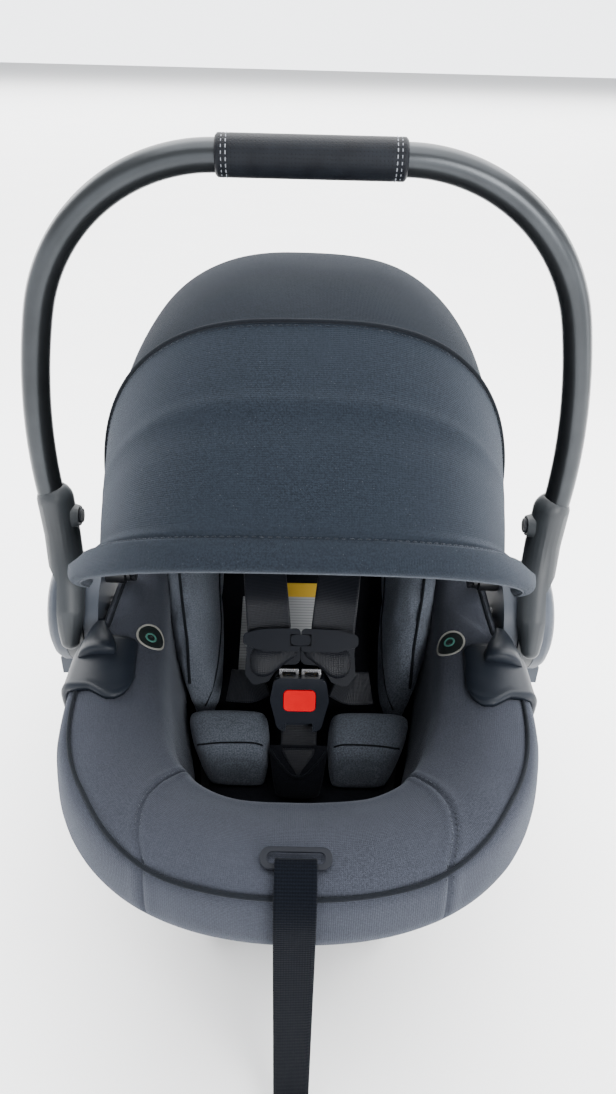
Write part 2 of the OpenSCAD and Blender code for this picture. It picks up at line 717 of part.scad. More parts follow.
// Chest clip, in its own frame: Y up the straps, Z out of it. Each half has a strap slot
clip_slide = 10;
module at_clip() {
    translate(clip_c) rotate([clip_tilt, 0, 0]) children();
}
module clip_half() {
    difference() {
        union() {
            translate([0, 0, -4.4]) linear_extrude(8.4) offset(r = 5) polygon([
                [5.2, -4], [20, -5], [29, -19], [36, -21], [40, -16], [39, 0], [40, 12], [34, 15], [5.2, 15]]);
            translate([0, 0, 3.9]) linear_extrude(4.5) offset(r = 4) polygon([
                [4.2, 5], [30, 5], [43, 9], [43, 12], [30, 15], [4.2, 16]]);
        }
        translate([-20, -40, -6]) cube([20.2, 80, 20]);
        translate([3, -60, -1.8]) cube([43.5, 120, 3.6]);
        translate([-1, 5.6, 3.9]) cube([9.6, 9.8, 8]);
    }
}
module chest_clip_right() {
    color("black") at_clip() clip_half();
}
module chest_clip_left() {
    color("black") at_clip() mirror([1, 0, 0]) clip_half();
}
module chest_clip_button() {
    color("black") at_clip() translate([0, 10.5, 6]) linear_extrude(3.4)
        offset(r = 4.2) square([8, 0.6], center = true);
}

// ---------- strap adjuster ----------
module adjuster_body() {
    color("silver") difference() {
        translate([-tail_w / 2 - 4, adj_y - 7.8, adj_z - 16]) cube([tail_w + 8, 19.8, 3]);
        translate([-tail_w / 2, adj_y - 4, adj_z - 18]) cube([tail_w, 8, 8]);
    }
    color("silver") for (s = [-1, 1]) difference() {
        translate([s * (tail_w / 2 + 2.9) - 1, adj_y - 9, adj_z - 13.1]) cube([2, 18, 12]);
        translate([s * (tail_w / 2 + 3), adj_y + 4, adj_z - 6]) rotate([0, 90, 0])
            cylinder(r = 2.05, h = 10, center = true);
    }
}
module adjuster_pin() {
    color("silver") translate([0, adj_y + 4, adj_z - 6]) rotate([0, 90, 0])
        cylinder(r = 2, h = tail_w + 7.4, center = true);
}
// Sprung lever that pinches the strap
module adjuster_lever() {
    color("gray") difference() {
        union() {
            translate([0, adj_y + 4, adj_z - 6]) rotate([0, 90, 0])
                cylinder(r = 3.6, h = tail_w - 2, center = true);
            translate([-tail_w / 2 + 2, adj_y - 1.9, adj_z - 8.4]) cube([tail_w - 4, 6, 3]);
        }
        translate([0, adj_y + 4, adj_z - 6]) rotate([0, 90, 0])
            cylinder(r = 2.05, h = tail_w + 10, center = true);
    }
}
// Stitched eyelet round the slot in the cover
module adjuster_bezel() {
    color("black") translate([0, adj_y - 4, rim_z(-310) + 6.6]) rotate([11, 0, 0]) difference() {
        linear_extrude(1.6) offset(r = 6) square([tail_w + 6, 2], center = true);
        translate([0, 0, -1]) linear_extrude(6) offset(r = 3) square([tail_w + 3, 1], center = true);
    }
}
// Free end of the adjuster strap: out of the slot, over the edge and down to the floor
tail_line = [
    [0, -287.6, 245], [0, -288, 256], [0, -288.6, 264], [0, -292.5, 269], [0, -299, 268.8],
    [0, -307, 263.5], [0, -313, 255], [0, -316.4, 243], [0, -317, 225], [0, -317, 190],
    [0, -317, 155], [0, -317, 120], [0, -317, 85], [0, -317, 50], [0, -318, 28], [0, -323, 12],
    [0, -336, 3], [0, -356, 1.2], [0, -390, 1.2]
];
module adjuster_strap() {
    color("black")
        skin(swept(curve(tail_line, 4), web(tail_w, strap_t), [1, 0, 0]));
}
// Folded and stitched stop at the end of the strap
module strap_end() {
    color("black") translate([-tail_w / 2 - 0.6, -412, 0.1])
        difference() {
            cube([tail_w + 1.2, 21.8, 3.4]);
            translate([-1, -1, 3.2]) cube([tail_w + 4, 3, 2]);
        }
}

// Plain sewn labels on the back pad
module care_labels() {
    color("white") {
        skin([for (y = [4:12:64]) [
            for (e = [[-20, 0.6], [20, 0.6], [20, 1.2], [-20, 1.2]]) [e[0], y, floor_z(y) + e[1]]]]);
        skin([for (y = [-40:15:50]) [
            for (e = [[-58, 0.6], [-42, 0.6], [-42, 1.2], [-58, 1.2]]) [e[0], y, floor_z(y) + e[1]]]]);
    }
}

// ---------- release handle at the back ----------
// Lever that frees the carrier from its base, set into the back of the tub
rel_c = [0, 271.5, 178];
rel_tilt = -20;
window_w = 92;
window_h = 40;
module at_release() {
    translate(rel_c) rotate([rel_tilt, 0, 0]) children();
}
// Block w wide and h high that reaches a out of the back and b into it
module release_block(w, h, a, b) {
    translate([-w / 2, -b, -h / 2]) cube([w, a + b, h]);
}
module release_bezel() {
    color("black") at_release() difference() {
        release_block(window_w - 0.8, window_h - 0.8, 5, 9);
        release_block(window_w - 12, window_h - 12, 6, 5);
    }
}
rel_travel = 8;
module release_handle() {
    h = window_h - 12 - rel_travel - 2;
    color("gray") at_release() translate([0, 0, -rel_travel / 2]) difference() {
        release_block(window_w - 14, h, 3.5, 4);
        translate([0, 2, 0]) release_block(window_w - 30, h - 9, 4, 2);
    }
}

shell();
skid(-1);  // skid_left
skid(1);  // skid_right
latch_bar(bar_y[0]);  // latch_bar_front
latch_bar(bar_y[1]);  // latch_bar_rear
bar_brackets();
foam_ring();
seat_cover();
seat_lining();
back_pad();
bolster(-1);  // bolster_left
bolster(1);  // bolster_right
thigh_pad(-1);  // thigh_pad_left
thigh_pad(1);  // thigh_pad_right
head_pad();
belt_guide(-1);  // belt_guide_left
belt_guide(1);  // belt_guide_right
hub_base(-1);  // hub_base_left
hub_base(1);  // hub_base_right
hub_cover(-1);  // hub_cover_left
hub_cover(1);  // hub_cover_right
pivot_bolt(-1);  // pivot_bolt_left
pivot_bolt(1);  // pivot_bolt_right
hub_screws();
arm(-1);  // arm_left
arm(1);  // arm_right
handle_tube();
grip_sleeve();
handle_button(-1);  // handle_button_left
handle_button(1);  // handle_button_right
canopy_pivot(-1);  // canopy_pivot_left
canopy_pivot(1);  // canopy_pivot_right
front_bow();
canopy_brim();
canopy_front_panel();
ridge_bow();
canopy_rear_panel();
shoulder_straps();
shoulder_pads();
hip_straps();
crotch_strap();
crotch_pad();
chest_clip_left();
chest_clip_right();
chest_clip_button();
buckle_front();
buckle_back();
buckle_button();
buckle_tongues();
adjuster_body();
adjuster_lever();
adjuster_pin();
adjuster_bezel();
adjuster_strap();
strap_end();
care_labels();
release_bezel();
release_handle();
adapter_latch(-1);  // adapter_latch_left
adapter_latch(1);  // adapter_latch_right
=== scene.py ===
"""Infant carrier car seat: fabrics, webbing, leather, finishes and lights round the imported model.

Shapes are worked out in millimetres, in the model's own frame, and put() turns them into metres.
Angles are in degrees. +Z is up and -Y is towards the child's feet.
"""

import math

import bpy
import numpy as np
from mathutils import Matrix, Vector, noise


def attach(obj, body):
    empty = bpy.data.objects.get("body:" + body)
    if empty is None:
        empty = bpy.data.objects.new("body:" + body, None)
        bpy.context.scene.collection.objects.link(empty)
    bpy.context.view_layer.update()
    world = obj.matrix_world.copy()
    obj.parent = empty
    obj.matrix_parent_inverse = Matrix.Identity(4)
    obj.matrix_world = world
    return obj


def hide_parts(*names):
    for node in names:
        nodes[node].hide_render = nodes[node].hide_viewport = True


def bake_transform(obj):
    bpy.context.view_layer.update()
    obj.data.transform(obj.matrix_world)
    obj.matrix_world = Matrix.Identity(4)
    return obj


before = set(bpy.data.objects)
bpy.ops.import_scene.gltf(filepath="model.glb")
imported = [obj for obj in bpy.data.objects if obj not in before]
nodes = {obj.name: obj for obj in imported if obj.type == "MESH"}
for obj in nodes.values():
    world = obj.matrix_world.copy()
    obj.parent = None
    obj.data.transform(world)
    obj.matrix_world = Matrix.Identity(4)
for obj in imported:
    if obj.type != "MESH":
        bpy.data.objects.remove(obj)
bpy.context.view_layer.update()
MM = 0.001
SIDES = ((-1, "left"), (1, "right"))


# ---------- camera ----------
LENS = 26.0
CAMERA_AT = (0.0, -0.585, 0.667)
PITCH, YAW, ROLL = 32.0, -0.435, 1.5

camera_data = bpy.data.cameras.new("camera")
camera_data.lens = LENS
camera_data.clip_end = 50
camera = bpy.data.objects.new("camera", camera_data)
bpy.context.scene.collection.objects.link(camera)
turn = (
    Matrix.Rotation(math.radians(YAW), 3, "Z")
    @ Matrix.Rotation(math.radians(90 - PITCH), 3, "X")
    @ Matrix.Rotation(math.radians(ROLL), 3, "Z")
)
camera.rotation_euler = turn.to_euler("XYZ")
camera.location = CAMERA_AT
bpy.context.scene.camera = camera


# ---------- numbers and curves ----------
def lerp(a, b, t):
    return a + (b - a) * t


def sstep(x):
    """Smooth step from 0 to 1 while x goes from 0 to 1."""
    x = min(1.0, max(0.0, x))
    return x * x * (3 - 2 * x)


def spow(v, e):
    """v to the power e, with v's own sign."""
    return math.copysign(abs(v) ** e, v)


def sind(a):
    return math.sin(math.radians(a))


def cosd(a):
    return math.cos(math.radians(a))


def bump_at(x, centre, width):
    """A smooth hump of height 1 at centre."""
    return math.exp(-(((x - centre) / width) ** 2))


def unit(v):
    v = np.asarray(v, float)
    return v / (np.linalg.norm(v) or 1.0)


def curve(points, steps):
    """Catmull-Rom curve through points, with that many steps to a span."""
    p = np.asarray(points, float)
    out = []
    for i in range(len(p) - 1):
        a, b, c, d = p[max(i - 1, 0)], p[i], p[i + 1], p[min(i + 2, len(p) - 1)]
        for s in range(steps):
            t = s / steps
            square, cube = 2 * a - 5 * b + 4 * c - d, 3 * b - a - 3 * c + d
            out.append(0.5 * (2 * b + (c - a) * t + square * t * t + cube * t**3))
    out.append(p[-1])
    return np.array(out)


def evenly(path, pitch):
    """Points along a path, that far apart."""
    path = np.asarray(path, float)
    far = np.concatenate([[0], np.cumsum(np.linalg.norm(np.diff(path, axis=0), axis=1))])
    count = max(2, int(round(far[-1] / pitch)) + 1)
    at = np.linspace(0, far[-1], count)
    return np.stack([np.interp(at, far, path[:, k]) for k in range(3)], axis=1)


def tangents(path, closed=False):
    if closed:
        d = np.roll(path, -1, axis=0) - np.roll(path, 1, axis=0)
    else:
        d = np.gradient(path, axis=0)
    return d / np.maximum(np.linalg.norm(d, axis=1, keepdims=True), 1e-9)


# ---------- meshes ----------
def put(name, points, faces, finish, body="root", uvs=None, smooth=True):
    """A mesh piece from points in millimetres, riding on a body unless body is None."""
    mesh = bpy.data.meshes.new(name)
    mesh.from_pydata([tuple(p) for p in np.asarray(points, float) * MM], [], faces)
    if uvs is not None:
        layer = mesh.uv_layers.new(name="weave")
        layer.data.foreach_set("uv", np.asarray(uvs, np.float32).ravel())
    if smooth:
        mesh.polygons.foreach_set("use_smooth", [True] * len(mesh.polygons))
    mesh.materials.append(finish)
    mesh.update()
    piece = bpy.data.objects.new(name, mesh)
    bpy.context.scene.collection.objects.link(piece)
    if body:
        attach(piece, body)
    return piece


def grid_faces(n, m, wrap_n, wrap_m, first=0):
    """Quads of an n by m grid of points, and each corner's place in the grid."""
    faces, places = [], []
    for i in range(n if wrap_n else n - 1):
        for j in range(m if wrap_m else m - 1):
            k, l = (i + 1) % n, (j + 1) % m
            faces.append((first + i * m + j, first + i * m + l, first + k * m + l, first + k * m + j))
            places += [(i, j), (i, j + 1), (i + 1, j + 1), (i + 1, j)]
    return faces, places


def signed_volume(points, faces):
    """Six times the volume that the faces enclose, positive when they look outwards."""
    total = 0.0
    for f in faces:
        a = points[f[0]]
        for k in range(1, len(f) - 1):
            total += float(np.dot(np.cross(a, points[f[k]]), points[f[k + 1]]))
    return total


def loft(name, rings, finish, body="root", torus=False, folded=False, smooth=True):
    """Closed solid through closed rings. folded rings go out along one face and back along the other.
    UVs are in metres: u across the ring and v along the loft."""
    rings = np.asarray(rings, float)
    n, m = rings.shape[:2]
    points = rings.reshape(-1, 3)
    faces, places = grid_faces(n, m, torus, True)
    round_ring = np.linalg.norm(np.roll(rings, -1, axis=1) - rings, axis=2).mean(0)
    u = np.concatenate([[0], np.cumsum(round_ring)]) * MM
    along = np.linalg.norm(np.roll(rings, -1, axis=0) - rings, axis=2).mean(1)
    v = np.concatenate([[0], np.cumsum(along)]) * MM
    uvs = [(u[j], v[i]) for i, j in places]
    if not torus:
        for ring, first, flip in ((0, 0, True), (n - 1, (n - 1) * m, False)):
            if folded:
                for j in range(m // 2 - 1):
                    quad = (first + j, first + j + 1, first + m - 2 - j, first + m - 1 - j)
                    faces.append(tuple(reversed(quad)) if flip else quad)
                    uvs += [(u[j], v[ring])] * 4
            else:
                points = np.vstack([points, rings[ring].mean(0)])
                hub = len(points) - 1
                for j in range(m):
                    tri = (hub, first + j, first + (j + 1) % m)
                    faces.append(tuple(reversed(tri)) if flip else tri)
                    uvs += [(u[j], v[ring])] * 3
    if signed_volume(points, faces) < 0:
        at, flipped = 0, []
        for f in faces:
            flipped += list(reversed(uvs[at : at + len(f)]))
            at += len(f)
        faces, uvs = [tuple(reversed(f)) for f in faces], flipped
    return put(name, points, faces, finish, body, uvs, smooth)


def swept(path, profile, side):
    """Rings of a 2D profile carried along a path; side is the profile's own X direction."""
    rings = []
    for p, t in zip(path, tangents(path)):
        s = unit(np.asarray(side, float) - t * float(np.dot(side, t)))
        v = np.cross(t, s)
        rings.append([p + q[0] * s + q[1] * v for q in profile])
    return np.array(rings)


def disc(r, n):
    return [(r * cosd(360 * i / n), r * sind(360 * i / n)) for i in range(n)]


def web(width, thick):
    """Section of webbing, a little thicker along its woven edges."""
    w, t = width / 2, thick / 2
    top = [(-w, 0.35 * t), (-w + 0.5, t * 1.15), (-w + 2.2, t * 1.15), (-w + 3, t * 0.9), (0, t * 0.92)]
    top += [(-x, y) for x, y in reversed(top[:-1])]
    return top + [(x, -y) for x, y in reversed(top)]


def frames(path, closed=False):
    """Two directions across a path at each point, turning as little as they can."""
    t = tangents(path, closed)
    a = np.zeros_like(t)
    ref = np.array([0.0, 0.0, 1.0]) if abs(t[0][2]) < 0.9 else np.array([0.0, 1.0, 0.0])
    for i in range(len(t)):
        ref = unit(ref - t[i] * np.dot(ref, t[i]))
        a[i] = ref
    return a, np.cross(t, a)


def cordlet(name, path, r, finish, body="root", closed=False, sides=8):
    """A thin round tube, such as piping, along a path."""
    path = np.asarray(path, float)
    a, b = frames(path, closed)
    rings = [
        [p + r * (cosd(360 * k / sides) * x + sind(360 * k / sides) * y) for k in range(sides)]
        for p, x, y in zip(path, a, b)
    ]
    return loft(name, rings, finish, body, torus=closed)


def stitches(name, lines, finish, body="root", length=3.0, gap=1.6, r=0.35):
    """Rows of sewn stitches as one piece. Each line is a path in millimetres that lies on a surface."""
    points, faces = [], []
    for line in lines:
        line = evenly(line, length + gap)
        for a, b in zip(line[:-1], line[1:]):
            d = unit(b - a)
            side = unit(np.cross(d, (0.3, 0.2, 1.0)))
            up = np.cross(side, d)
            start, end = a + d * gap / 2, b - d * gap / 2
            first = len(points)
            for k, (q, w) in enumerate(((0, 0.25), (0.2, 1), (0.8, 1), (1, 0.25))):
                centre = lerp(start, end, q)
                for e in range(6):
                    points.append(centre + r * w * (cosd(60 * e) * side + sind(60 * e) * up))
            new, _ = grid_faces(4, 6, False, True, first)
            faces += new
            faces.append(tuple(first + e for e in range(6)))
            faces.append(tuple(first + 18 + e for e in reversed(range(6))))
    return put(name, points, faces, finish, body)


# ---------- finishes ----------
class Finish:
    """One Principled material and short ways to wire its nodes."""

    def __init__(self, name, **sockets):
        self.material = bpy.data.materials.new(name)
        self.material.use_nodes = True
        self.tree = self.material.node_tree
        self.shader = self.tree.nodes["Principled BSDF"]
        for key, value in sockets.items():
            self.shader.inputs[key.replace("_", " ")].default_value = value
        self.at = -200

    def node(self, kind, links=None, values=None, **settings):
        made = self.tree.nodes.new("ShaderNode" + kind)
        self.at -= 40
        made.location = (self.at, -self.at)
        for key, value in settings.items():
            setattr(made, key, value)
        for key, value in (values or {}).items():
            made.inputs[key].default_value = value
        for key, output in (links or {}).items():
            self.tree.links.new(output, made.inputs[key])
        return made

    def coordinates(self, kind="Object"):
        """Object coordinates, in metres, or UV."""
        return self.node("TexCoord").outputs[kind]

    def math(self, operation, a, b):
        made = self.node("Math", operation=operation)
        for key, value in ((0, a), (1, b)):
            if isinstance(value, (int, float)):
                made.inputs[key].default_value = value
            else:
                self.tree.links.new(value, made.inputs[key])
        return made.outputs[0]

    def noise(self, where, scale, detail=2.0, rough=0.5):
        values = {"Scale": scale, "Detail": detail, "Roughness": rough}
        return self.node("TexNoise", {"Vector": where}, values).outputs["Fac"]

    def bands(self, where, pitch, direction="X"):
        """Sine bands that repeat every pitch metres."""
        scale = {"Scale": 0.31416 / pitch}
        return self.node("TexWave", {"Vector": where}, scale, bands_direction=direction).outputs["Fac"]

    def ramp(self, fac, *stops):
        made = self.node("ValToRGB", {"Fac": fac})
        while len(made.color_ramp.elements) < len(stops):
            made.color_ramp.elements.new(0.5)
        for element, (at, colour) in zip(made.color_ramp.elements, stops):
            element.position = at
            element.color = (*colour, 1) if len(colour) == 3 else colour
        return made.outputs["Color"]

    def mix(self, fac, a, b):
        made = self.node("Mix", data_type="RGBA")
        for key, value in ((0, fac), (6, a), (7, b)):
            if isinstance(value, (int, float)):
                made.inputs[key].default_value = value
            elif isinstance(value, tuple):
                made.inputs[key].default_value = (*value, 1)
            else:
                self.tree.links.new(value, made.inputs[key])
        return made.outputs[2]

    def colour(self, output):
        self.tree.links.new(output, self.shader.inputs["Base Color"])

    def roughness(self, output, low, high):
        spread = self.node("MapRange", {"Value": output}, {"To Min": low, "To Max": high})
        self.tree.links.new(spread.outputs[0], self.shader.inputs["Roughness"])

    def bump(self, height, strength, depth):
        made = self.node("Bump", {"Height": height}, {"Strength": strength, "Distance": depth})
        self.tree.links.new(made.outputs[0], self.shader.inputs["Normal"])
        return self.material


def shade(colour, k):
    return tuple(c * k for c in colour)


def fabric(name, colour, thread=0.0011, heather=0.5, uv=True, sheen=0.35, speckle=0.0):
    """Woven cloth: plain weave bump, yarn-to-yarn colour change and slow unevenness."""
    f = Finish(name, Roughness=0.95, Sheen_Weight=sheen, Sheen_Roughness=0.45, Specular_IOR_Level=0.06)
    f.shader.inputs["Sheen Tint"].default_value = (0.75, 0.82, 0.95, 1)
    solid = f.coordinates()
    flat = f.coordinates("UV") if uv else solid
    yarn = f.noise(solid, 900, 2)
    cloud = f.noise(solid, 14, 3)
    tone = f.ramp(yarn, (0.36, shade(colour, 1 - 0.55 * heather)), (0.64, shade(colour, 1 + 0.8 * heather)))
    tone = f.mix(f.ramp(cloud, (0.35, (0, 0, 0)), (0.7, (0.5, 0.5, 0.5))), tone, shade(colour, 1.25))
    weave = f.math("MULTIPLY", f.bands(flat, thread, "X"), f.bands(flat, thread, "Y"))
    tone = f.mix(f.math("MULTIPLY", weave, 0.35), tone, shade(colour, 0.45))
    if speckle:
        cells = f.node("TexVoronoi", {"Vector": solid}, {"Scale": 260.0}).outputs["Distance"]
        dots = f.ramp(cells, (0.04, (1, 1, 1)), (0.08, (0, 0, 0)))
        tone = f.mix(f.math("MULTIPLY", dots, speckle), tone, (0.16, 0.17, 0.19))
    f.colour(tone)
    height = f.math("ADD", f.math("MULTIPLY", weave, -1.0), f.math("MULTIPLY", yarn, 0.8))
    return f.bump(height, 0.55, 0.0004)


def plastic(name, colour, rough=0.45, grain=0.25, spec=0.4):
    """Moulded plastic with a fine spark-eroded grain and faint handling marks."""
    f = Finish(name, Specular_IOR_Level=spec)
    solid = f.coordinates()
    fine = f.noise(solid, 1600, 2)
    slow = f.noise(solid, 22, 4)
    f.colour(f.ramp(slow, (0.35, shade(colour, 0.86)), (0.7, shade(colour, 1.16))))
    f.roughness(slow, rough - 0.07, rough + 0.09)
    return f.bump(fine, grain, 0.0003)


def metal(name, colour, rough=0.35):
    """Bare or anodised metal, finely brushed."""
    f = Finish(name, Metallic=0.85)
    solid = f.coordinates()
    slow = f.noise(solid, 30, 4)
    fine = f.noise(solid, 1400, 3)
    f.colour(f.ramp(slow, (0.35, shade(colour, 0.88)), (0.7, shade(colour, 1.12))))
    f.roughness(fine, rough - 0.06, rough + 0.1)
    return f.bump(fine, 0.12, 0.0002)


def leather():
    """Black leatherette with pebble grain and rows of small perforations."""
    f = Finish("grip_leather", Specular_IOR_Level=0.1)
    solid, flat = f.coordinates(), f.coordinates("UV")
    pebble = f.node("TexVoronoi", {"Vector": solid}, {"Scale": 900.0}).outputs["Distance"]
    slow = f.noise(solid, 60, 3)
    holes = f.math("MULTIPLY", f.bands(flat, 0.0026, "X"), f.bands(flat, 0.0026, "Y"))
    hole = f.ramp(holes, (0.72, (0, 0, 0)), (0.86, (1, 1, 1)))
    base = f.ramp(slow, (0.3, (0.0035, 0.0042, 0.006)), (0.75, (0.007, 0.0085, 0.0115)))
    f.colour(f.mix(hole, base, (0.002, 0.002, 0.003)))
    f.roughness(slow, 0.42, 0.58)
    height = f.math("SUBTRACT", f.math("MULTIPLY", pebble, 0.6), hole)
    return f.bump(height, 0.5, 0.0004)


def webbing(name, colour, rib=0.0016, across=0.0012, rough=0.55, spec=0.1):
    """Woven strap: ribs across the width and a finer warp along it."""
    f = Finish(name, Sheen_Weight=0.02, Sheen_Roughness=0.4, Specular_IOR_Level=spec)
    solid, flat = f.coordinates(), f.coordinates("UV")
    ribs, warp = f.bands(flat, rib, "Y"), f.bands(flat, across, "X")
    yarn = f.noise(solid, 700, 2)
    pattern = f.math("ADD", f.math("MULTIPLY", ribs, 0.65), f.math("MULTIPLY", warp, 0.35))
    tone = f.ramp(pattern, (0.1, shade(colour, 0.45)), (0.8, shade(colour, 1.35)))
    f.colour(f.mix(f.math("MULTIPLY", yarn, 0.4), tone, shade(colour, 1.5)))
    f.roughness(yarn, rough - 0.08, rough + 0.12)
    return f.bump(f.math("ADD", pattern, f.math("MULTIPLY", yarn, 0.3)), 0.6, 0.0005)


def label():
    """Woven care label: faint ruled lines on white, with an amber band across its top."""
    f = Finish("care_label", Roughness=0.75, Specular_IOR_Level=0.3)
    solid = f.coordinates()
    parts = f.node("SeparateXYZ", {"Vector": solid})
    line = f.ramp(f.bands(solid, 0.0026, "Y"), (0.70, (0.34, 0.35, 0.36)), (0.9, (0.22, 0.225, 0.23)))
    top = f.ramp(f.math("MULTIPLY", parts.outputs["Y"], 10.0), (0.50, (0, 0, 0)), (0.505, (1, 1, 1)))
    f.colour(f.mix(top, line, (0.55, 0.34, 0.03)))
    return f.bump(f.noise(solid, 1500, 2), 0.2, 0.0002)


CANOPY = (0.0082, 0.0112, 0.0158)
COVER = (0.0232, 0.0256, 0.0336)
INSERT = (0.0680, 0.0770, 0.0940)
canopy_cloth = fabric("canopy_fabric", CANOPY, 0.0009, 0.5, sheen=0.10, speckle=0.22)
# Rear panel cloth: the canopy cloth darkened to 0.58, painted shade that keeps this upward-facing panel as dark
# as the front under the overhead lamp.
rear_cloth_painted_shade = fabric("canopy_rear_fabric_painted_shade", shade(CANOPY, 0.58), 0.0009, 0.5, sheen=0.05)
hem_cloth = fabric("canopy_hem_fabric", shade(CANOPY, 0.9), 0.0009, 0.5, sheen=0.08)
cover_cloth = fabric("cover_fabric", COVER, 0.0011, 0.4, sheen=0.12, speckle=0.08)
insert_cloth = fabric("insert_fabric", INSERT, 0.0013, 0.6, uv=False, sheen=0.12)
lining_cloth = fabric("lining_fabric", (0.0045, 0.005, 0.007), 0.0013, 0.4, uv=False, sheen=0.03)
piping_cloth = fabric("piping_fabric", (0.0055, 0.0065, 0.0085), 0.0008, 0.3, sheen=0.05)
strap_cloth = webbing("harness_webbing", (0.0050, 0.0058, 0.0085), 0.0014, 0.0011, 0.38, 0.22)
tail_cloth = webbing("adjuster_webbing", (0.0020, 0.0026, 0.0042), 0.0019, 0.0016, 0.7, 0.02)
thread_dark = fabric("thread_dark", (0.006, 0.007, 0.0095), 0.0005, 0.3, uv=False)
edge_cloth = fabric("hem_edging", (0.050, 0.056, 0.066), 0.0008, 0.3, sheen=0.05)
thread_pale = fabric("thread_pale", (0.20, 0.21, 0.23), 0.0005, 0.2, uv=False)
grip_skin = leather()
hub_finish = plastic("hub_plastic", (0.036, 0.043, 0.056), 0.45, 0.25, 0.3)
arm_finish = plastic("arm_plastic", (0.021, 0.024, 0.027), 0.42, 0.25, 0.3)
shell_finish = plastic("shell_plastic", (0.0065, 0.0072, 0.0086), 0.5, 0.4, 0.14)
guide_finish = plastic("guide_plastic", (0.0075, 0.0098, 0.0142), 0.42, 0.12, 0.15)
slot_finish = plastic("slot_plastic", (0.006, 0.007, 0.010), 0.5, 0.2, 0.1)
clip_finish = plastic("harness_plastic", (0.0040, 0.0052, 0.0085), 0.42, 0.08, 0.16)
buckle_finish = plastic("buckle_plastic", (0.010, 0.012, 0.017), 0.24, 0.06, 0.6)
grey_finish = plastic("buckle_grey", (0.020, 0.022, 0.027), 0.25, 0.06)
red_finish = plastic("red_button", (0.74, 0.0, 0.008), 0.4, 0.05, 0.06)
bow_finish = plastic("bow_plastic", (0.007, 0.0075, 0.009), 0.4, 0.1)
tube_finish = metal("handle_tube", (0.034, 0.037, 0.040), 0.3)
steel_finish = metal("steel", (0.32, 0.32, 0.33), 0.25)
badge_pale = plastic("badge_pale", (0.22, 0.22, 0.20), 0.5, 0.1)
badge_dark = plastic("badge_dark", (0.008, 0.011, 0.011), 0.4, 0.1)
badge_teal = plastic("badge_teal", (0.05, 0.16, 0.13), 0.45, 0.1)
foam_finish = fabric("foam", (0.01, 0.01, 0.011), 0.002, 0.3, uv=False, sheen=0.0)


# ---------- shapes shared with the CAD model ----------
def half_oval(t, a, yc, front, rear, nf, nr):
    """Point at angle t of an oval with half width a, split at y = yc: each end has its reach and exponent."""
    c, s = cosd(t), sind(t)
    n, b = (nf, front) if s < 0 else (nr, rear)
    return np.array([a * spow(c, 2 / n), yc + b * spow(s, 2 / n)])


def rim_z(y):
    """Height of the rim, lowest at y = -145 and rising to both ends."""
    return 246 + (0.00045 if y < -145 else 0.00061) * (y + 145) ** 2


def near_hub(y):
    """1 beside the handle hubs, 0 further along the rim."""
    return sstep((90 - abs(y + 3)) / 30)


def rim(t):
    """Outline of the padded rim at angle t."""
    p = half_oval(t, 182, -125, 185, 435, 2.2, 2.6)
    p[0] -= math.copysign(min(abs(p[0]), 11 * near_hub(p[1])), p[0])
    return p


def cavity(t):
    """Outline of the cavity's edge at angle t, a little wider towards the head."""
    p = half_oval(t, 115, -60, 164, 322, 3.4, 2.8)
    p[0] *= 1 + 0.001 * (p[1] + 60)
    return p


def floor_z(y):
    """Height of the seat's floor: level under the legs, then rising towards the head."""
    h = 0.53 * (y + 110)
    return 124 + (h + math.sqrt(h * h + 500)) / 2


def lip(t, d):
    """Section of the padded rim at angle t, sunk by d: hem, piping, crown, cavity edge, wall."""
    o, c = rim(t), cavity(t)
    f = lerp(c, np.array([0.0, -30.0]), 0.14)
    z, zc, hub = rim_z(o[1]), rim_z(c[1]), near_hub(o[1])
    hem = lerp(40, 12, hub)
    w = np.linalg.norm(c - o)
    n = (c - o) / w
    wall, zf = np.linalg.norm(f - c), floor_z(f[1]) + 4
    flat = [
        (2 + d, z - hem - 8),
        (d, z - hem + 4),
        (3 + d, z - 6 - 0.5 * d),
        (14 + 0.4 * d, z + 3 - d),
        (0.45 * w, lerp(z, zc, 0.45) + 6 - 3 * hub - d),
        (0.82 * w, zc - 1 - d),
        (w - d, zc - 12 - 0.4 * d),
        (w + wall * 0.35 - d, lerp(zc, zf, 0.42)),
        (w + wall - d, zf + 1),
    ]
    return np.array([[*(o + n * q), h] for q, h in flat])


def lip_at(t, s, d=0.0):
    """Point of that section at s, counted in its points from the hem."""
    fine = curve(lip(t, d), 8)
    return np.array([np.interp(s * 8, range(len(fine)), fine[:, k]) for k in range(3)])


CANOPY_AXIS = np.array([0.0, -3.0, 272.0])
FRONT_ANGLE, RIDGE_ANGLE = 53.0, 24.0
CANOPY_HALF, BRIM_HALF, CANOPY_N = 153.0, 180.0, 2.9
FRONT_R, RIDGE_R = 262.0, 286.0


def arch(al, u, a, r, n=CANOPY_N):
    """Point on an arch of half width a and height r, in the plane through the canopy axis at al."""
    q = r * spow(sind(u), 2 / n)
    return CANOPY_AXIS + np.array([a * spow(cosd(u), 2 / n), -q * sind(al), q * cosd(al)])


def arch_angles(count, gap, a=CANOPY_HALF, r=RIDGE_R):
    """Angles that are evenly spaced along an arch."""
    fine = np.linspace(gap, 180 - gap, 1800)
    line = np.array([arch(0, u, a, r) for u in fine])
    far = np.concatenate([[0], np.cumsum(np.linalg.norm(np.diff(line, axis=0), axis=1))])
    return np.interp(np.linspace(0, far[-1], count), far, fine)


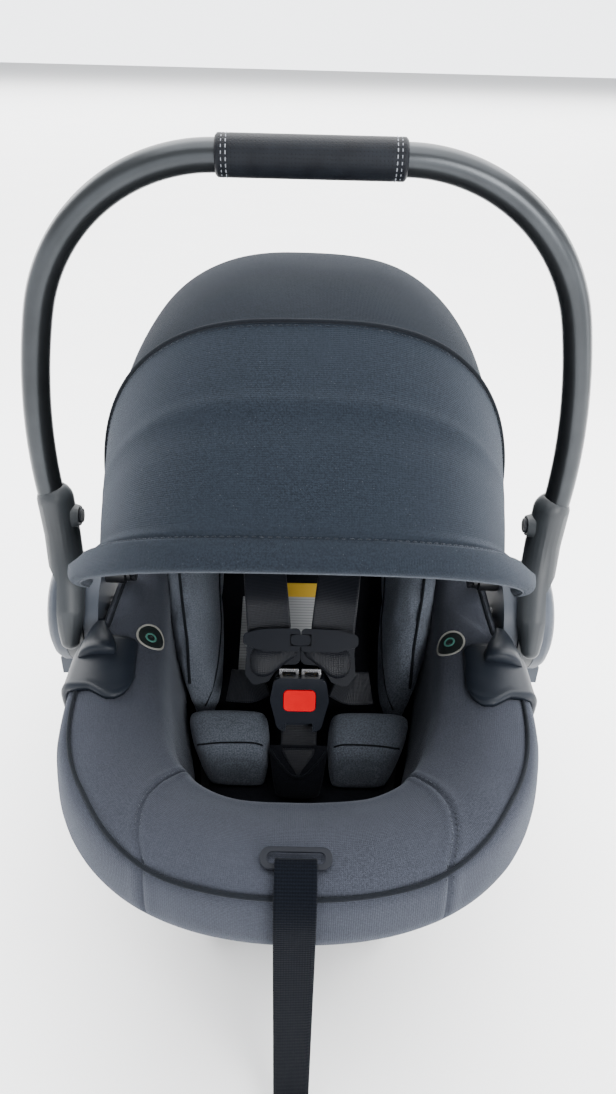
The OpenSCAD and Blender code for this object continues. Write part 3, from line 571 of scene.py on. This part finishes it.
def ring_angles(count, near=()):
    """Angles evenly spaced round the rim, closer together near each (angle, reach, pitch)."""
    fine = np.linspace(-90, 270, 7201)
    line = np.array([rim(t) for t in fine])
    far = np.concatenate([[0], np.cumsum(np.linalg.norm(np.diff(line, axis=0), axis=1))])
    at = list(np.linspace(0, far[-1], count, endpoint=False))
    for t, reach, pitch in near:
        centre = np.interp(t, fine, far)
        at += list(np.arange(centre - reach, centre + reach, pitch))
    at = sorted(at)
    kept = [at[0]] + [b for a, b in zip(at, at[1:]) if b - a > 0.4]
    return np.interp(kept, far, fine)


def normals(grid, outward):
    """Unit normals of a grid of points, turned to the side that outward says at its middle."""
    n = np.cross(np.gradient(grid, axis=0), np.gradient(grid, axis=1))
    n /= np.maximum(np.linalg.norm(n, axis=2, keepdims=True), 1e-9)
    middle = n[n.shape[0] // 2, n.shape[1] // 2]
    return n if float(np.dot(middle, outward)) > 0 else -n


def ripple(p, size, seed=0.0):
    """Slow unevenness from -1 to 1 at a point in millimetres."""
    return noise.noise(Vector((p[0] / size + seed, p[1] / size, p[2] / size - seed)))


# ---------- adjuster strap: the free webbing that hangs from the front ----------
TAIL_W, STRAP_T = 25.0, 1.6
tail_line = [
    (0, -287.6, 245), (0, -288, 256), (0, -288.6, 264), (0, -292.5, 269), (0, -299, 268.8),
    (0, -307, 263.5), (0, -313, 255), (0, -316.4, 243), (0, -317, 225), (0, -317, 190),
    (0, -317, 155), (0, -317, 120), (0, -317, 85), (0, -317, 50), (0, -318, 28), (0, -323, 12),
    (0, -336, 3), (0, -356, 1.2), (0, -390, 1.2),
]
tail_path = curve(tail_line, 8)
tail = loft(
    "adjuster_tail", swept(tail_path, web(TAIL_W, STRAP_T), (1, 0, 0)), tail_cloth, folded=True
)
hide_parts("adjuster_strap")


# ---------- padded cover ----------
def seam_left(s):
    """Rim angle of the front panel's left seam, at s in the section."""
    return lerp(241, 228, sstep((s - 2) / 3))


def edge_s(t):
    """Where the piped edge runs in the section: low at the front, further in along the sides."""
    return 2.05 + 0.85 * sstep((abs((t + 90) % 360 if t < 90 else t - 270) - 22) / 34)


def cover():
    """Padded cover over the rim and the cavity wall, with its piping and front seams."""
    steps = 7
    angles = ring_angles(330, [(234.5, 42, 1.2), (-54.5, 42, 1.2)])
    outer = np.array([curve(lip(t, 0.0), steps) for t in angles])
    inner = np.array([lip(t, 5.0)[::-1] for t in angles])
    n = normals(outer, (0, 0, 1))
    crown = n[:, 4 * steps, 2]
    n[crown < 0] *= -1
    for i, t in enumerate(angles):
        left = t if t > 90 else 180 - t
        for j in range(outer.shape[1]):
            s = j / steps
            p = outer[i, j]
            lift = 0.9 * ripple(p, 60) + 0.5 * ripple(p, 24, 3.0)
            lift -= 1.3 * bump_at(s, edge_s(t), 0.16)
            if 0.4 < s < 7:
                across = (left - seam_left(s)) * 4.5
                lift -= 1.9 * bump_at(across, 0, 2.2) - 0.7 * bump_at(abs(across), 9, 6)
            lift *= 0.3 + 0.7 * sstep(s)
            outer[i, j] = p + n[i, j] * lift
    rings = np.concatenate([outer, inner], axis=1)
    piece = loft("padded_cover", rings, cover_cloth, torus=True)
    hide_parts("seat_cover")
    edge = [lip_at(t, edge_s(t), -0.4) for t in ring_angles(330)]
    cordlet("cover_piping", edge, 1.5, piping_cloth, closed=True)
    rows = []
    for side in (1, -1):
        for off in (-0.9, 0.9):
            row = [lip_at(seam_left(s) + off, s, 0.25) for s in np.linspace(1.1, 6.2, 60)]
            rows.append([(side * p[0], p[1], p[2]) for p in row])
    stitches("cover_seam_stitches", rows, thread_dark, r=0.3)
    return piece


padded_cover = cover()


# ---------- canopy ----------
def blend_round(piece):
    """Bakes a canopy panel's placement into its points."""
    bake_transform(piece)


def cloth_panel(name, outer, finish, thick, outward):
    """Cloth of that thickness under an outer surface given as a grid of points."""
    inner = outer - normals(outer, outward) * thick
    return loft(name, np.concatenate([outer, inner[:, ::-1]], axis=1), finish, body=None, folded=True)


def panel_half(k):
    """Half width of the front panel from its front edge, k 0, to the ridge: it flares into the brim."""
    return CANOPY_HALF + (BRIM_HALF - 3 - CANOPY_HALF) * max(0.0, 1 - k / 0.11) ** 1.7


def front_point(u, k, lift=0.0):
    """Point of the front panel, with the soft ridge that the inner bow presses into it."""
    al = lerp(FRONT_ANGLE - 0.7, RIDGE_ANGLE, k)
    mid = math.sin(math.pi * u / 180)
    imprint = lerp(0.58, 0.62, mid) - 0.11 * sstep((u - 20) / 70) * (1 - mid)
    lean = 0.02 * (90 - u) / 90
    line = imprint - lean
    dent = 1.6 * bump_at(k, line, 0.035) - 1.2 * bump_at(k, line - 0.10, 0.07)
    stitch = -2.2 * bump_at(k, 0.045, 0.015)
    r = lerp(FRONT_R, RIDGE_R, k) - 2.2 * math.sin(math.pi * k) + dent * mid + stitch + lift
    return arch(al, u, panel_half(k) + stitch + lift, r)


def canopy():
    """Front and rear cloths, each one curved sheet, with the ridge piping and the rows of stitches."""
    angles = arch_angles(150, 4)
    ks = sorted(set(np.round(np.concatenate([np.linspace(0.03, 1, 42), np.linspace(0.03, 0.11, 15)]), 4)))
    front = []
    for u in angles:
        row = [front_point(u, k) for k in ks]
        row = [p + 0.5 * ripple(p, 45, 5.0) * unit(p - CANOPY_AXIS) for p in row]
        turns = (165, 145, 125, 105, 85, 65, 45, 25, 5, -20)
        row = [roll_point(9 + (u - 4) * 162 / 172, phi) for phi in turns] + row
        row.append(arch(RIDGE_ANGLE - 0.9, u, CANOPY_HALF - 1.0, RIDGE_R - 2))
        row.append(arch(RIDGE_ANGLE - 1.4, u, CANOPY_HALF - 3, RIDGE_R - 8))
        front.append(row)
    panel = cloth_panel("canopy_front_cloth", np.array(front), canopy_cloth, 2.4, (0, -0.6, 0.8))
    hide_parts("canopy_front_panel")
    blend_round(panel)

    rear = []
    for u in angles:
        q = 268 * spow(sind(u), 2 / CANOPY_N)
        end = -80.0
        for _ in range(8):
            low = (rim_z(-3 - q * sind(end)) + 9 - 272) / q
            end = -math.degrees(math.acos(max(-0.6, min(0.6, low))))
        row = [
            arch(RIDGE_ANGLE - 1.1, u, CANOPY_HALF - 2.5, RIDGE_R - 7),
            arch(RIDGE_ANGLE - 2, u, CANOPY_HALF - 1.5, RIDGE_R - 10.5),
        ]
        for k in np.linspace(0, 1, 60):
            r = lerp(RIDGE_R - 12, 268, k) - 2 * math.sin(math.pi * k)
            p = arch(lerp(RIDGE_ANGLE - 3.2, end, k), u, lerp(CANOPY_HALF - 0.6, 154, k), r)
            row.append(p + (0.8 * ripple(p, 50, 9.0) + 1.2 * bump_at(k, 0.98, 0.02)) * unit(p - CANOPY_AXIS))
        rear.append(row)
    # The rear cloth carries painted shade: canopy cloth darkened to offset the overhead lamp on this
    # upward-facing panel.
    panel = cloth_panel("canopy_rear_cloth", np.array(rear), rear_cloth_painted_shade, 2.4, (0, 0.2, 1))
    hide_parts("canopy_rear_panel")
    blend_round(panel)

    ridge = [arch(RIDGE_ANGLE + 0.2, u, CANOPY_HALF + 0.8, RIDGE_R + 0.8) for u in arch_angles(160, 4)]
    cordlet("ridge_piping", ridge, 1.3, piping_cloth, "canopy_ridge")
    for name, k, off in (("ridge_stitches", 0.975, 0.2), ("hem_stitches", 0.045, 0.35)):
        body = "canopy_ridge" if k > 0.5 else "canopy_front"
        line = [front_point(u, k, off) for u in arch_angles(240, 6)]
        stitches(name, [line], thread_dark, body, r=0.32)


def roll_point(u, phi, shrink=0.0):
    """Point on the padded roll of the front edge: phi turns from the outside, forward and under."""
    normal = np.array([0, -cosd(FRONT_ANGLE), -sind(FRONT_ANGLE)])
    c = arch(FRONT_ANGLE, u, BRIM_HALF - 3, FRONT_R - 4, 2.5)
    out = unit(arch(FRONT_ANGLE, u, BRIM_HALF + 10, FRONT_R + 10, 2.5) - c)
    c = c - 3 * normal
    tip = abs(cosd(u)) ** 3
    h, w = 7 + 2.5 * tip - shrink, 5.2 + 1.5 * tip - shrink
    end = min(1.0, (min(u, 180 - u) - 8.4) / 2.2)
    k = math.sqrt(max(0.02, 1 - (1 - max(0.0, end)) ** 2))
    puff = 1 + 0.04 * ripple(c, 26, phi * 0.01)
    return c + w * puff * k * spow(cosd(phi), 0.8) * out + (h + shrink + h * k * spow(sind(phi), 0.85)) * normal


def brim():
    """Padding inside the rolled hem, and the thin piping along its lower edge."""
    angles = arch_angles(130, 9, BRIM_HALF - 3, FRONT_R - 4)
    rings = [[roll_point(u, 360 * k / 24, 2.2) for k in range(24)] for u in angles]
    piece = loft("canopy_brim_padding", rings, hem_cloth, "canopy_front")
    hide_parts("canopy_brim")
    edge = [roll_point(u, 112, -0.3) for u in angles]
    cordlet("brim_piping", edge, 0.55, edge_cloth, "canopy_front")


canopy()
brim()


# ---------- cushions ----------
def evaluated(piece):
    """Replaces a piece's mesh by what its modifiers make of it, and drops them."""
    bpy.context.view_layer.update()
    depsgraph = bpy.context.evaluated_depsgraph_get()
    mesh = bpy.data.meshes.new_from_object(piece.evaluated_get(depsgraph))
    piece.modifiers.clear()
    piece.data = mesh


def co_of(mesh):
    """A mesh's vertices as an array, in metres."""
    co = np.zeros(len(mesh.vertices) * 3, np.float32)
    mesh.vertices.foreach_get("co", co)
    return co.reshape(-1, 3).astype(float)


def stuffed(name, node, finish, shrink=2.5, cap=6.0, voxel=4.5, pressure=4.0, soft=3):
    """A cushion blown up from its CAD solid by a short cloth simulation, with its swelling capped."""
    piece = bpy.data.objects.new(name, nodes[node].data.copy())
    bpy.context.scene.collection.objects.link(piece)
    piece.modifiers.new("voxel", "REMESH").voxel_size = voxel * MM
    evaluated(piece)
    mesh = piece.data
    normal = np.array([v.normal for v in mesh.vertices])
    start = co_of(mesh) - normal * shrink * MM
    mesh.vertices.foreach_set("co", start.astype(np.float32).ravel())
    cloth = piece.modifiers.new("cloth", "CLOTH")
    cloth.settings.use_pressure = True
    cloth.settings.uniform_pressure_force = pressure
    cloth.settings.effector_weights.gravity = 0
    cloth.settings.quality = 6
    for step in range(1, 21):
        bpy.context.scene.frame_set(step)
    evaluated(piece)
    mesh = piece.data
    moved = co_of(mesh) - start
    size = np.linalg.norm(moved, axis=1, keepdims=True)
    moved *= np.minimum(1, cap * MM / np.maximum(size, 1e-9))
    mesh.vertices.foreach_set("co", (start + moved).astype(np.float32).ravel())
    bpy.context.scene.frame_set(1)
    smooth = piece.modifiers.new("smooth", "SMOOTH")
    smooth.iterations = soft
    smooth.factor = 0.5
    piece.modifiers.new("round", "SUBSURF").levels = 1
    evaluated(piece)
    piece.data.materials.clear()
    piece.data.materials.append(finish)
    piece.data.polygons.foreach_set("use_smooth", [True] * len(piece.data.polygons))
    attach(piece, "root")
    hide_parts(node)
    return piece


def snapped(piece, points, lift, relax=0):
    """Points in millimetres moved onto a piece's surface and lifted off it."""
    out = []
    for p in points:
        hit, at, n, _ = piece.closest_point_on_mesh(Vector([c * MM for c in p]))
        out.append(np.array(at) / MM + np.array(n) * lift if hit else np.asarray(p, float))
    out = np.array(out)
    for _ in range(relax):
        out[1:-1] = 0.25 * out[:-2] + 0.5 * out[1:-1] + 0.25 * out[2:]
    return out


def wall_x(y, z):
    """Where the face of the cavity wall stands at a given y and height."""
    n, reach = (3.4, 164) if y < -60 else (2.8, 322)
    c = 115 * (1 + 0.001 * (y + 60)) * (1 - (abs(y + 60) / reach) ** n) ** (1 / n)
    return lerp(0.86 * c, c, (z - floor_z(y)) / (rim_z(y) - 14 - floor_z(y)))


# Stations of a side bolster: y, height above the floor and thickness.
BOLSTER = [
    (-66, 44, 16), (-58, 66, 26), (-40, 82, 32), (-10, 86, 34),
    (30, 82, 34), (70, 76, 33), (98, 66, 29), (118, 46, 20),
]


def bolster_line(side, ex, ez):
    """A line along a bolster, ex across its thickness from the wall and ez up its height."""
    out = []
    for y, high, thick in BOLSTER:
        z = floor_z(y) + 1.5 + high * ez
        out.append((side * (wall_x(y, z) - 3 - 0.06 * max(0, y - 30) - ex * thick), y, z))
    return curve(out, 10)


for side, word in SIDES:
    pad = stuffed(f"bolster_cushion_{word}", f"bolster_{word}", insert_cloth)
    edge = snapped(pad, evenly(bolster_line(side, 0.42, 1.0), 4), 1.1, 12)
    cordlet(f"bolster_piping_{word}", edge, 1.3, piping_cloth)
    seam = snapped(pad, evenly(bolster_line(side, 1.0, 0.42), 4), 0.5, 12)
    cordlet(f"bolster_seam_{word}", seam, 0.8, piping_cloth)
    pad = stuffed(
        f"thigh_cushion_{word}", f"thigh_pad_{word}", insert_cloth,
        shrink=1.0, cap=8.0, pressure=7.0, soft=18,
    )
    seam = []
    for q in np.linspace(0.03, 0.97, 9):
        z = floor_z(-118) + 53 - 7 * q**4 - 5 * (1 - q) ** 6
        seam.append((side * lerp(25, wall_x(-119, 170) - 4, q), -121 + 3 * (1 - q), z))
    seam = snapped(pad, curve(seam, 6), 0.3, 6)
    cordlet(f"thigh_seam_{word}", seam, 0.8, piping_cloth)

stuffed("head_cushion", "head_pad", insert_cloth, cap=5)
stuffed("back_cushion", "back_pad", lining_cloth, shrink=1.8, cap=1.6, voxel=5, pressure=2)


# ---------- harness ----------
def both(points, side):
    """A left (-1) or right (1) copy of a line that is given on the right."""
    return np.array([(side * p[0], p[1], p[2]) for p in points])


shoulder_line = [
    (42, 146, 263), (42, 128, 273), (41, 90, 289), (38, 35, 298), (33, -15, 294),
    (29, -50, 281), (26.5, -66.8, 263), (25, -80, 248), (24, -87, 240),
]
hip_line = [(30, -82, 221), (41, -78, 210), (52, -73, 205), (61, -69, 202)]
crotch_line = [
    (0, -133.5, 138), (0, -135, 149), (0, -131, 160.5), (0, -121, 170),
    (0, -111, 177.5), (0, -104, 185.5), (0, -99.9, 195.6),
]

for name, node, line, width, lean in (
    ("shoulder_webbing", "shoulder_straps", shoulder_line, 36, 0.0),
    ("hip_webbing", "hip_straps", hip_line, 28, 0.9),
):
    for side, word in SIDES:
        path = curve(both(line, side), 8)
        rings = swept(path, web(width, STRAP_T), (1, lean * side, 0))
        strap = loft(f"{name}_{word}", rings, strap_cloth, folded=True)
        if side > 0:
            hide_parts(node)
rings = swept(curve(crotch_line, 8), web(30, STRAP_T), (1, 0, 0))
strap = loft("crotch_webbing", rings, strap_cloth, folded=True)
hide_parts("crotch_strap")


def sleeve(name, line, side_vector, half, thick, finish, body="root"):
    """Soft sleeve round webbing: a flattened oval with closed, rounded ends."""
    path = evenly(curve(line, 8), 3)
    n = len(path)
    narrow, wide = half if isinstance(half, tuple) else (half, half)
    rings = []
    for i, (p, t) in enumerate(zip(path, tangents(path))):
        s = unit(np.asarray(side_vector, float) - t * float(np.dot(side_vector, t)))
        v = np.cross(t, s)
        end = min(i, n - 1 - i) / 2.5
        k = math.sqrt(1 - (1 - min(1.0, end + 0.12)) ** 2)
        reach = lerp(narrow, wide, i / (n - 1))
        ring = []
        for e in range(28):
            x, y = cosd(e * 360 / 28), sind(e * 360 / 28)
            across = reach * (0.9 + 0.1 * k) * spow(x, 0.75) * s
            ring.append(p + across + (1.2 + (thick - 1.2) * k) * spow(y, 0.8) * v)
        rings.append(ring)
    return loft(name, rings, finish, body)


for side, word in SIDES:
    pad = sleeve(f"shoulder_sleeve_{word}", both(shoulder_line[1:5], side), (1, 0, 0), 24, 7, insert_cloth)
    if side > 0:
        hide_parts("shoulder_pads")
crotch_pad_line = [(0, -133.8, 140.5), (0, -135, 149), (0, -131, 160.5), (0, -121, 170), (0, -113, 176)]
pad = sleeve("crotch_sleeve", crotch_pad_line, (1, 0, 0), (18, 25), 6, lining_cloth)
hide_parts("crotch_pad")
collar = [(0, 0.50), (7, 0.56), (15, 0.70), (23, 0.86), (25, 0.98)]
collar = [(-x, k) for x, k in collar[:0:-1]] + collar
middle = curve(crotch_pad_line, 12)
rim_line = [middle[int(k * (len(middle) - 1))] + (x, -7, 5) for x, k in collar]
cordlet("crotch_collar", snapped(pad, curve(rim_line, 6), 0.6), 1.1, piping_cloth)
lay = []
for k in np.linspace(0.5, 1.0, 12):
    half = lerp(1.0, 13.5, sstep((k - 0.5) / 0.42))
    p = middle[int(k * (len(middle) - 1))]
    lay.append(snapped(pad, [p + (x * half, -7, 5) for x in np.linspace(-1, 1, 9)], 0.9))
lay = np.array(lay)
lay = np.concatenate([lay, lay[:, ::-1] - (0, -0.6, 0.6)], axis=1)
loft("crotch_webbing_lay", lay, strap_cloth, folded=True)


# ---------- webbing puffs in the chest clip, badges ----------
def at_clip(x, y, z):
    """Point in the chest clip's own frame, which leans with the straps."""
    a = 48.5
    return np.array([x, -80 + y * cosd(a) - z * sind(a), 248 + y * sind(a) + z * cosd(a)])


for side, word in SIDES:
    rings = []
    for x in np.linspace(3, 41, 39):
        k = math.sqrt(max(0.02, 1 - abs((x - 22) / 19.2) ** 5))
        low = lerp(-5, -20, sstep((x - 4) / 26))
        fold = 0.7 * ripple((x, low, 0), 7, 2.0 + side)
        ring = []
        for e in range(0, 360, 15):
            y = lerp(low, 6, 0.5 + 0.5 * k * spow(cosd(e), 0.9))
            high = (4.6 + fold) * k * max(-0.15, spow(sind(e), 0.8))
            ring.append(at_clip(side * x, y, 3.4 + high * (1 - 0.25 * sstep((y + 3) / 9))))
        rings.append(ring)
    loft(f"clip_webbing_{word}", rings, strap_cloth, "chest_clip")


def decal(name, middle, normal, r0, r1, finish, on, lift):
    """A flat ring or disc laid on another piece."""
    a = unit(np.cross(normal, (0, 0, 1)))
    b = np.cross(normal, a)
    rings = []
    for r in np.linspace(r0, r1, 6):
        rings.append(snapped(on, [middle + r * (cosd(e) * a + sind(e) * b) for e in range(0, 360, 8)], lift))
    rings += [ring - 0.3 * np.asarray(normal) for ring in rings[::-1]]
    loft(name, rings, finish, torus=True)


for side, word in SIDES:
    at, out = np.array([side * 125.0, -64.0, 249.5]), unit(np.array([-side * 0.62, -0.1, 0.78]))
    decal(f"badge_disc_{word}", at, out, 0.05, 13.5, badge_dark, padded_cover, 0.35)
    decal(f"badge_ring_{word}", at, out, 12.2, 14.0, badge_pale, padded_cover, 0.6)
    bar = at + unit(np.cross(out, (0, 0, 1))) * 1.5
    decal(f"badge_mark_{word}", bar, out, 3.4, 5.0, badge_teal, padded_cover, 0.6)


# ---------- belt guides ----------
def at_y(s, y):
    """Point of the cover's section line s on the left side at that y."""
    line = np.array([lip_at(t, s) for t in (165, 172, 178, 183, 188, 194, 202)])
    order = np.argsort(line[:, 1])
    return np.array([np.interp(y, line[order, 1], line[order, k]) for k in range(3)])


def belt_guide(side, word):
    """Saddle over the rim with a hood at its back, between which the vehicle's belt lies."""
    front = (
        (1.0, -112), (1.25, -122), (1.9, -127), (2.7, -131), (3.5, -134),
        (4.0, -143), (4.3, -142), (4.55, -132), (4.7, -116),
    )
    columns = np.linspace(1.0, 4.7, 34)
    grid = []
    for k in np.linspace(0, 1, 22):
        row = []
        for q in columns:
            y = lerp(np.interp(q, *zip(*front)), -76, k)
            row.append(at_y(q, y))
        grid.append(row)
    grid = np.array(grid)
    n = normals(grid, (0, 0, 1))
    outer, inner = grid.copy(), grid + n * 0.3
    for i in range(len(grid)):
        for j, q in enumerate(columns):
            k = i / (len(grid) - 1)
            edge = min(1.0, min(j, len(columns) - 1 - j) / 3.5, (i + 0.5) / 2.0)
            body = 3.4 + 2.2 * math.exp(-((q - 2.6) / 1.1) ** 2) + 0.8 * bump_at(k, 0.06, 0.05)
            outer[i, j] += n[i, j] * (0.6 + body * math.sqrt(edge * (2 - edge)))
    flip = np.array([-side, 1, 1])
    saddle = loft(
        f"belt_guide_saddle_{word}", np.concatenate([outer, inner[:, ::-1]], axis=1) * flip, guide_finish,
        folded=True,
    )
    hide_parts(f"belt_guide_{word}")
    rings = []
    sections = (
        (-42, 171, 2, 1.5), (-46, 171, 4, 3.5), (-55, 170, 6.5, 6), (-66, 168, 9.5, 8.5),
        (-78, 165.5, 13, 10.5), (-88, 163.5, 15, 11.5), (-95, 163, 15.6, 11.2), (-98, 163, 15, 10),
    )
    for y, x, w, h in sections:
        top = []
        for e in range(0, 181, 10):
            z = 250.5 + 5 * h / 11 + h * spow(sind(e), 0.9) + 0.24 * (163 - x - w * cosd(e))
            top.append((x + w * cosd(e), y - 2.0 * sind(e), z))
        low = [(x + w * c, y + 1.5, 246 + 0.24 * (163 - x - w * c)) for c in (-0.9, -0.4, 0, 0.4, 0.9)]
        rings.append(top + low)
    loft(f"belt_guide_hood_{word}", np.array(rings) * (side, 1, 1), guide_finish)


for side, word in SIDES:
    belt_guide(side, word)


# ---------- handle tube ----------
def handle_tube():
    """Bent aluminium tube: two large bends and two long slow ones."""
    rise, big, slow = 373.0, 138.0, 480.0

    def bend(a):
        return np.array([62 + big * sind(a), rise - big + big * cosd(a)])

    middle = bend(76) - slow * np.array([sind(76), cosd(76)])
    half = [np.array([0, rise]), np.array([31, rise])] + [bend(a) for a in np.arange(0, 76.1, 7.6)]
    half += [middle + slow * np.array([sind(a), cosd(a)]) for a in np.arange(79, 97.1, 2.5)]
    half.append(middle + slow * np.array([sind(98), cosd(98)]) - (0, 5))
    line = [(-q[0], -9, 236 + q[1]) for q in half[::-1]] + [(q[0], -9, 236 + q[1]) for q in half[1:]]
    rings = swept(curve(line, 5), disc(10.75, 36), (0, 1, 0))
    piece = loft("handle_tube_bent", rings, tube_finish, "handle")
    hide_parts("handle_tube")


handle_tube()


# ---------- grip ----------
def grip():
    """Leather sleeve sewn round the middle of the tube, with its seam underneath."""
    r, half, z, y = 13.5, 63.0, 609.0, -9.0
    rings = []
    for x in np.linspace(-half, half, 91):
        end = (half - abs(x)) / 2.2
        k = math.sqrt(max(0.0, 1 - (1 - min(1.0, end)) ** 2))
        band = 0.35 * bump_at(abs(x), half - 7.5, 0.8)
        ring = []
        for a in np.arange(0, 360, 6):
            q = 11 + (r - 11) * (0.35 + 0.65 * k) - band - 0.5 * bump_at((a + 180) % 360, 0, 5)
            ring.append((x, y + q * sind(a), z + q * cosd(a)))
        rings.append(ring)
    piece = loft("grip_leather_sleeve", rings, grip_skin, "handle")
    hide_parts("grip_sleeve")
    rows = []
    for at, q in ((half - 7.5, r + 0.05), (half - 4.5, r - 0.1)):
        for s in (-1, 1):
            rows.append([(s * at, y + q * sind(a), z + q * cosd(a)) for a in range(0, 361, 3)])
    stitches("grip_stitches", rows, thread_pale, "handle", length=2.6, gap=1.5, r=0.38)


grip()


# ---------- finishes on the CAD pieces ----------
FINISHES = {
    shell_finish: ["shell", "skid_left", "skid_right", "release_bezel", "seat_lining"],
    foam_finish: ["foam_ring"],
    hub_finish: ["hub_base_left", "hub_base_right", "hub_cover_left", "hub_cover_right"],
    arm_finish: ["arm_left", "arm_right"],
    bow_finish: ["front_bow", "ridge_bow", "canopy_pivot_left", "canopy_pivot_right"],
    clip_finish: [
        "chest_clip_left", "chest_clip_right", "chest_clip_button",
        "handle_button_left", "handle_button_right", "adjuster_lever",
    ],
    buckle_finish: ["buckle_back", "buckle_front"],
    grey_finish: ["release_handle"],
    slot_finish: ["adjuster_bezel"],
    red_finish: ["buckle_button"],
    steel_finish: [
        "latch_bar_front", "latch_bar_rear", "bar_brackets", "hub_screws", "pivot_bolt_left",
        "pivot_bolt_right", "buckle_tongues", "adjuster_body", "adjuster_pin",
        "adapter_latch_left", "adapter_latch_right",
    ],
    tail_cloth: ["strap_end"],
    label(): ["care_labels"],
}
BEVEL = {
    "hub_cover": 1.0, "hub_base": 1.0, "chest_clip": 0.9, "buckle_front": 2.4, "buckle_back": 1.2,
    "buckle_button": 1.4, "skid": 2.0, "release": 1.2,
}


def soften(piece, width):
    """Rounds a CAD piece's edges and lets its curved faces shade smoothly."""
    mesh = piece.data
    if "custom_normal" in mesh.attributes:
        mesh.attributes.remove(mesh.attributes["custom_normal"])
    mesh.polygons.foreach_set("use_smooth", [True] * len(mesh.polygons))
    weld = piece.modifiers.new("weld", "WELD")
    weld.merge_threshold = 1e-5
    bevel = piece.modifiers.new("bevel", "BEVEL")
    bevel.width = width * MM
    bevel.segments = 3
    bevel.limit_method = "ANGLE"
    bevel.angle_limit = math.radians(35)
    piece.modifiers.new("shading", "WEIGHTED_NORMAL").keep_sharp = False


for finish, names in FINISHES.items():
    for name in names:
        mesh = nodes[name].data
        mesh.materials.clear()
        mesh.materials.append(finish)
        if name != "foam_ring":
            soften(nodes[name], next((w for k, w in BEVEL.items() if name.startswith(k)), 0.5))


# ---------- floor and light ----------
floor_mesh = bpy.data.meshes.new("floor")
floor_mesh.from_pydata([(-20, -3, 0), (20, -3, 0), (20, 42, 0), (-20, 42, 0)], [], [(0, 1, 2, 3)])
floor = bpy.data.objects.new("floor", floor_mesh)
bpy.context.scene.collection.objects.link(floor)
paper = Finish("floor_paper", Roughness=0.9, Specular_IOR_Level=0.1)
mottle = paper.noise(paper.coordinates(), 3, 2)
paper.colour(paper.ramp(mottle, (0.3, (0.93, 0.93, 0.935)), (0.7, (0.95, 0.95, 0.95))))
floor_mesh.materials.append(paper.material)

world = bpy.data.worlds.new("studio")
world.use_nodes = True
sky = world.node_tree
back = sky.nodes["Background"]
back.inputs["Color"].default_value = (0.95, 0.97, 1.0, 1)
where = sky.nodes.new("ShaderNodeTexCoord")
height = sky.nodes.new("ShaderNodeSeparateXYZ")
bright = sky.nodes.new("ShaderNodeMapRange")
bright.interpolation_type = "SMOOTHSTEP"
for key, value in (("From Min", 0.08), ("From Max", 0.45), ("To Min", 4.2), ("To Max", 0.8)):
    bright.inputs[key].default_value = value
sky.links.new(where.outputs["Generated"], height.inputs[0])
sky.links.new(height.outputs["Z"], bright.inputs["Value"])
sky.links.new(bright.outputs[0], back.inputs["Strength"])
bpy.context.scene.world = world


def area_light(name, at, target, size, power):
    lamp = bpy.data.lights.new(name, "AREA")
    lamp.shape = "RECTANGLE"
    lamp.size, lamp.size_y = size
    lamp.energy = power
    piece = bpy.data.objects.new(name, lamp)
    bpy.context.scene.collection.objects.link(piece)
    piece.location = at
    piece.rotation_euler = (Vector(target) - Vector(at)).to_track_quat("-Z", "Y").to_euler()


area_light("overhead", (0.3, 0.0, 2.9), (0.05, 0.0, 0), (3.6, 3.6), 230)
area_light("backdrop", (0, 9, 7), (0, 9, 0), (26, 15), 8000)
area_light("front", (0.85, -1.65, 1.1), (0, 0, 0.25), (0.8, 0.6), 39)
area_light("window", (1.7, -0.5, 0.6), (0, 0, 0.3), (0.5, 1.0), 9)
for side, word in SIDES:
    area_light(f"rim_{word}", (side * 1.1, 0.75, 0.6), (side * 0.1, 0, 0.4), (0.25, 1.4), 9)
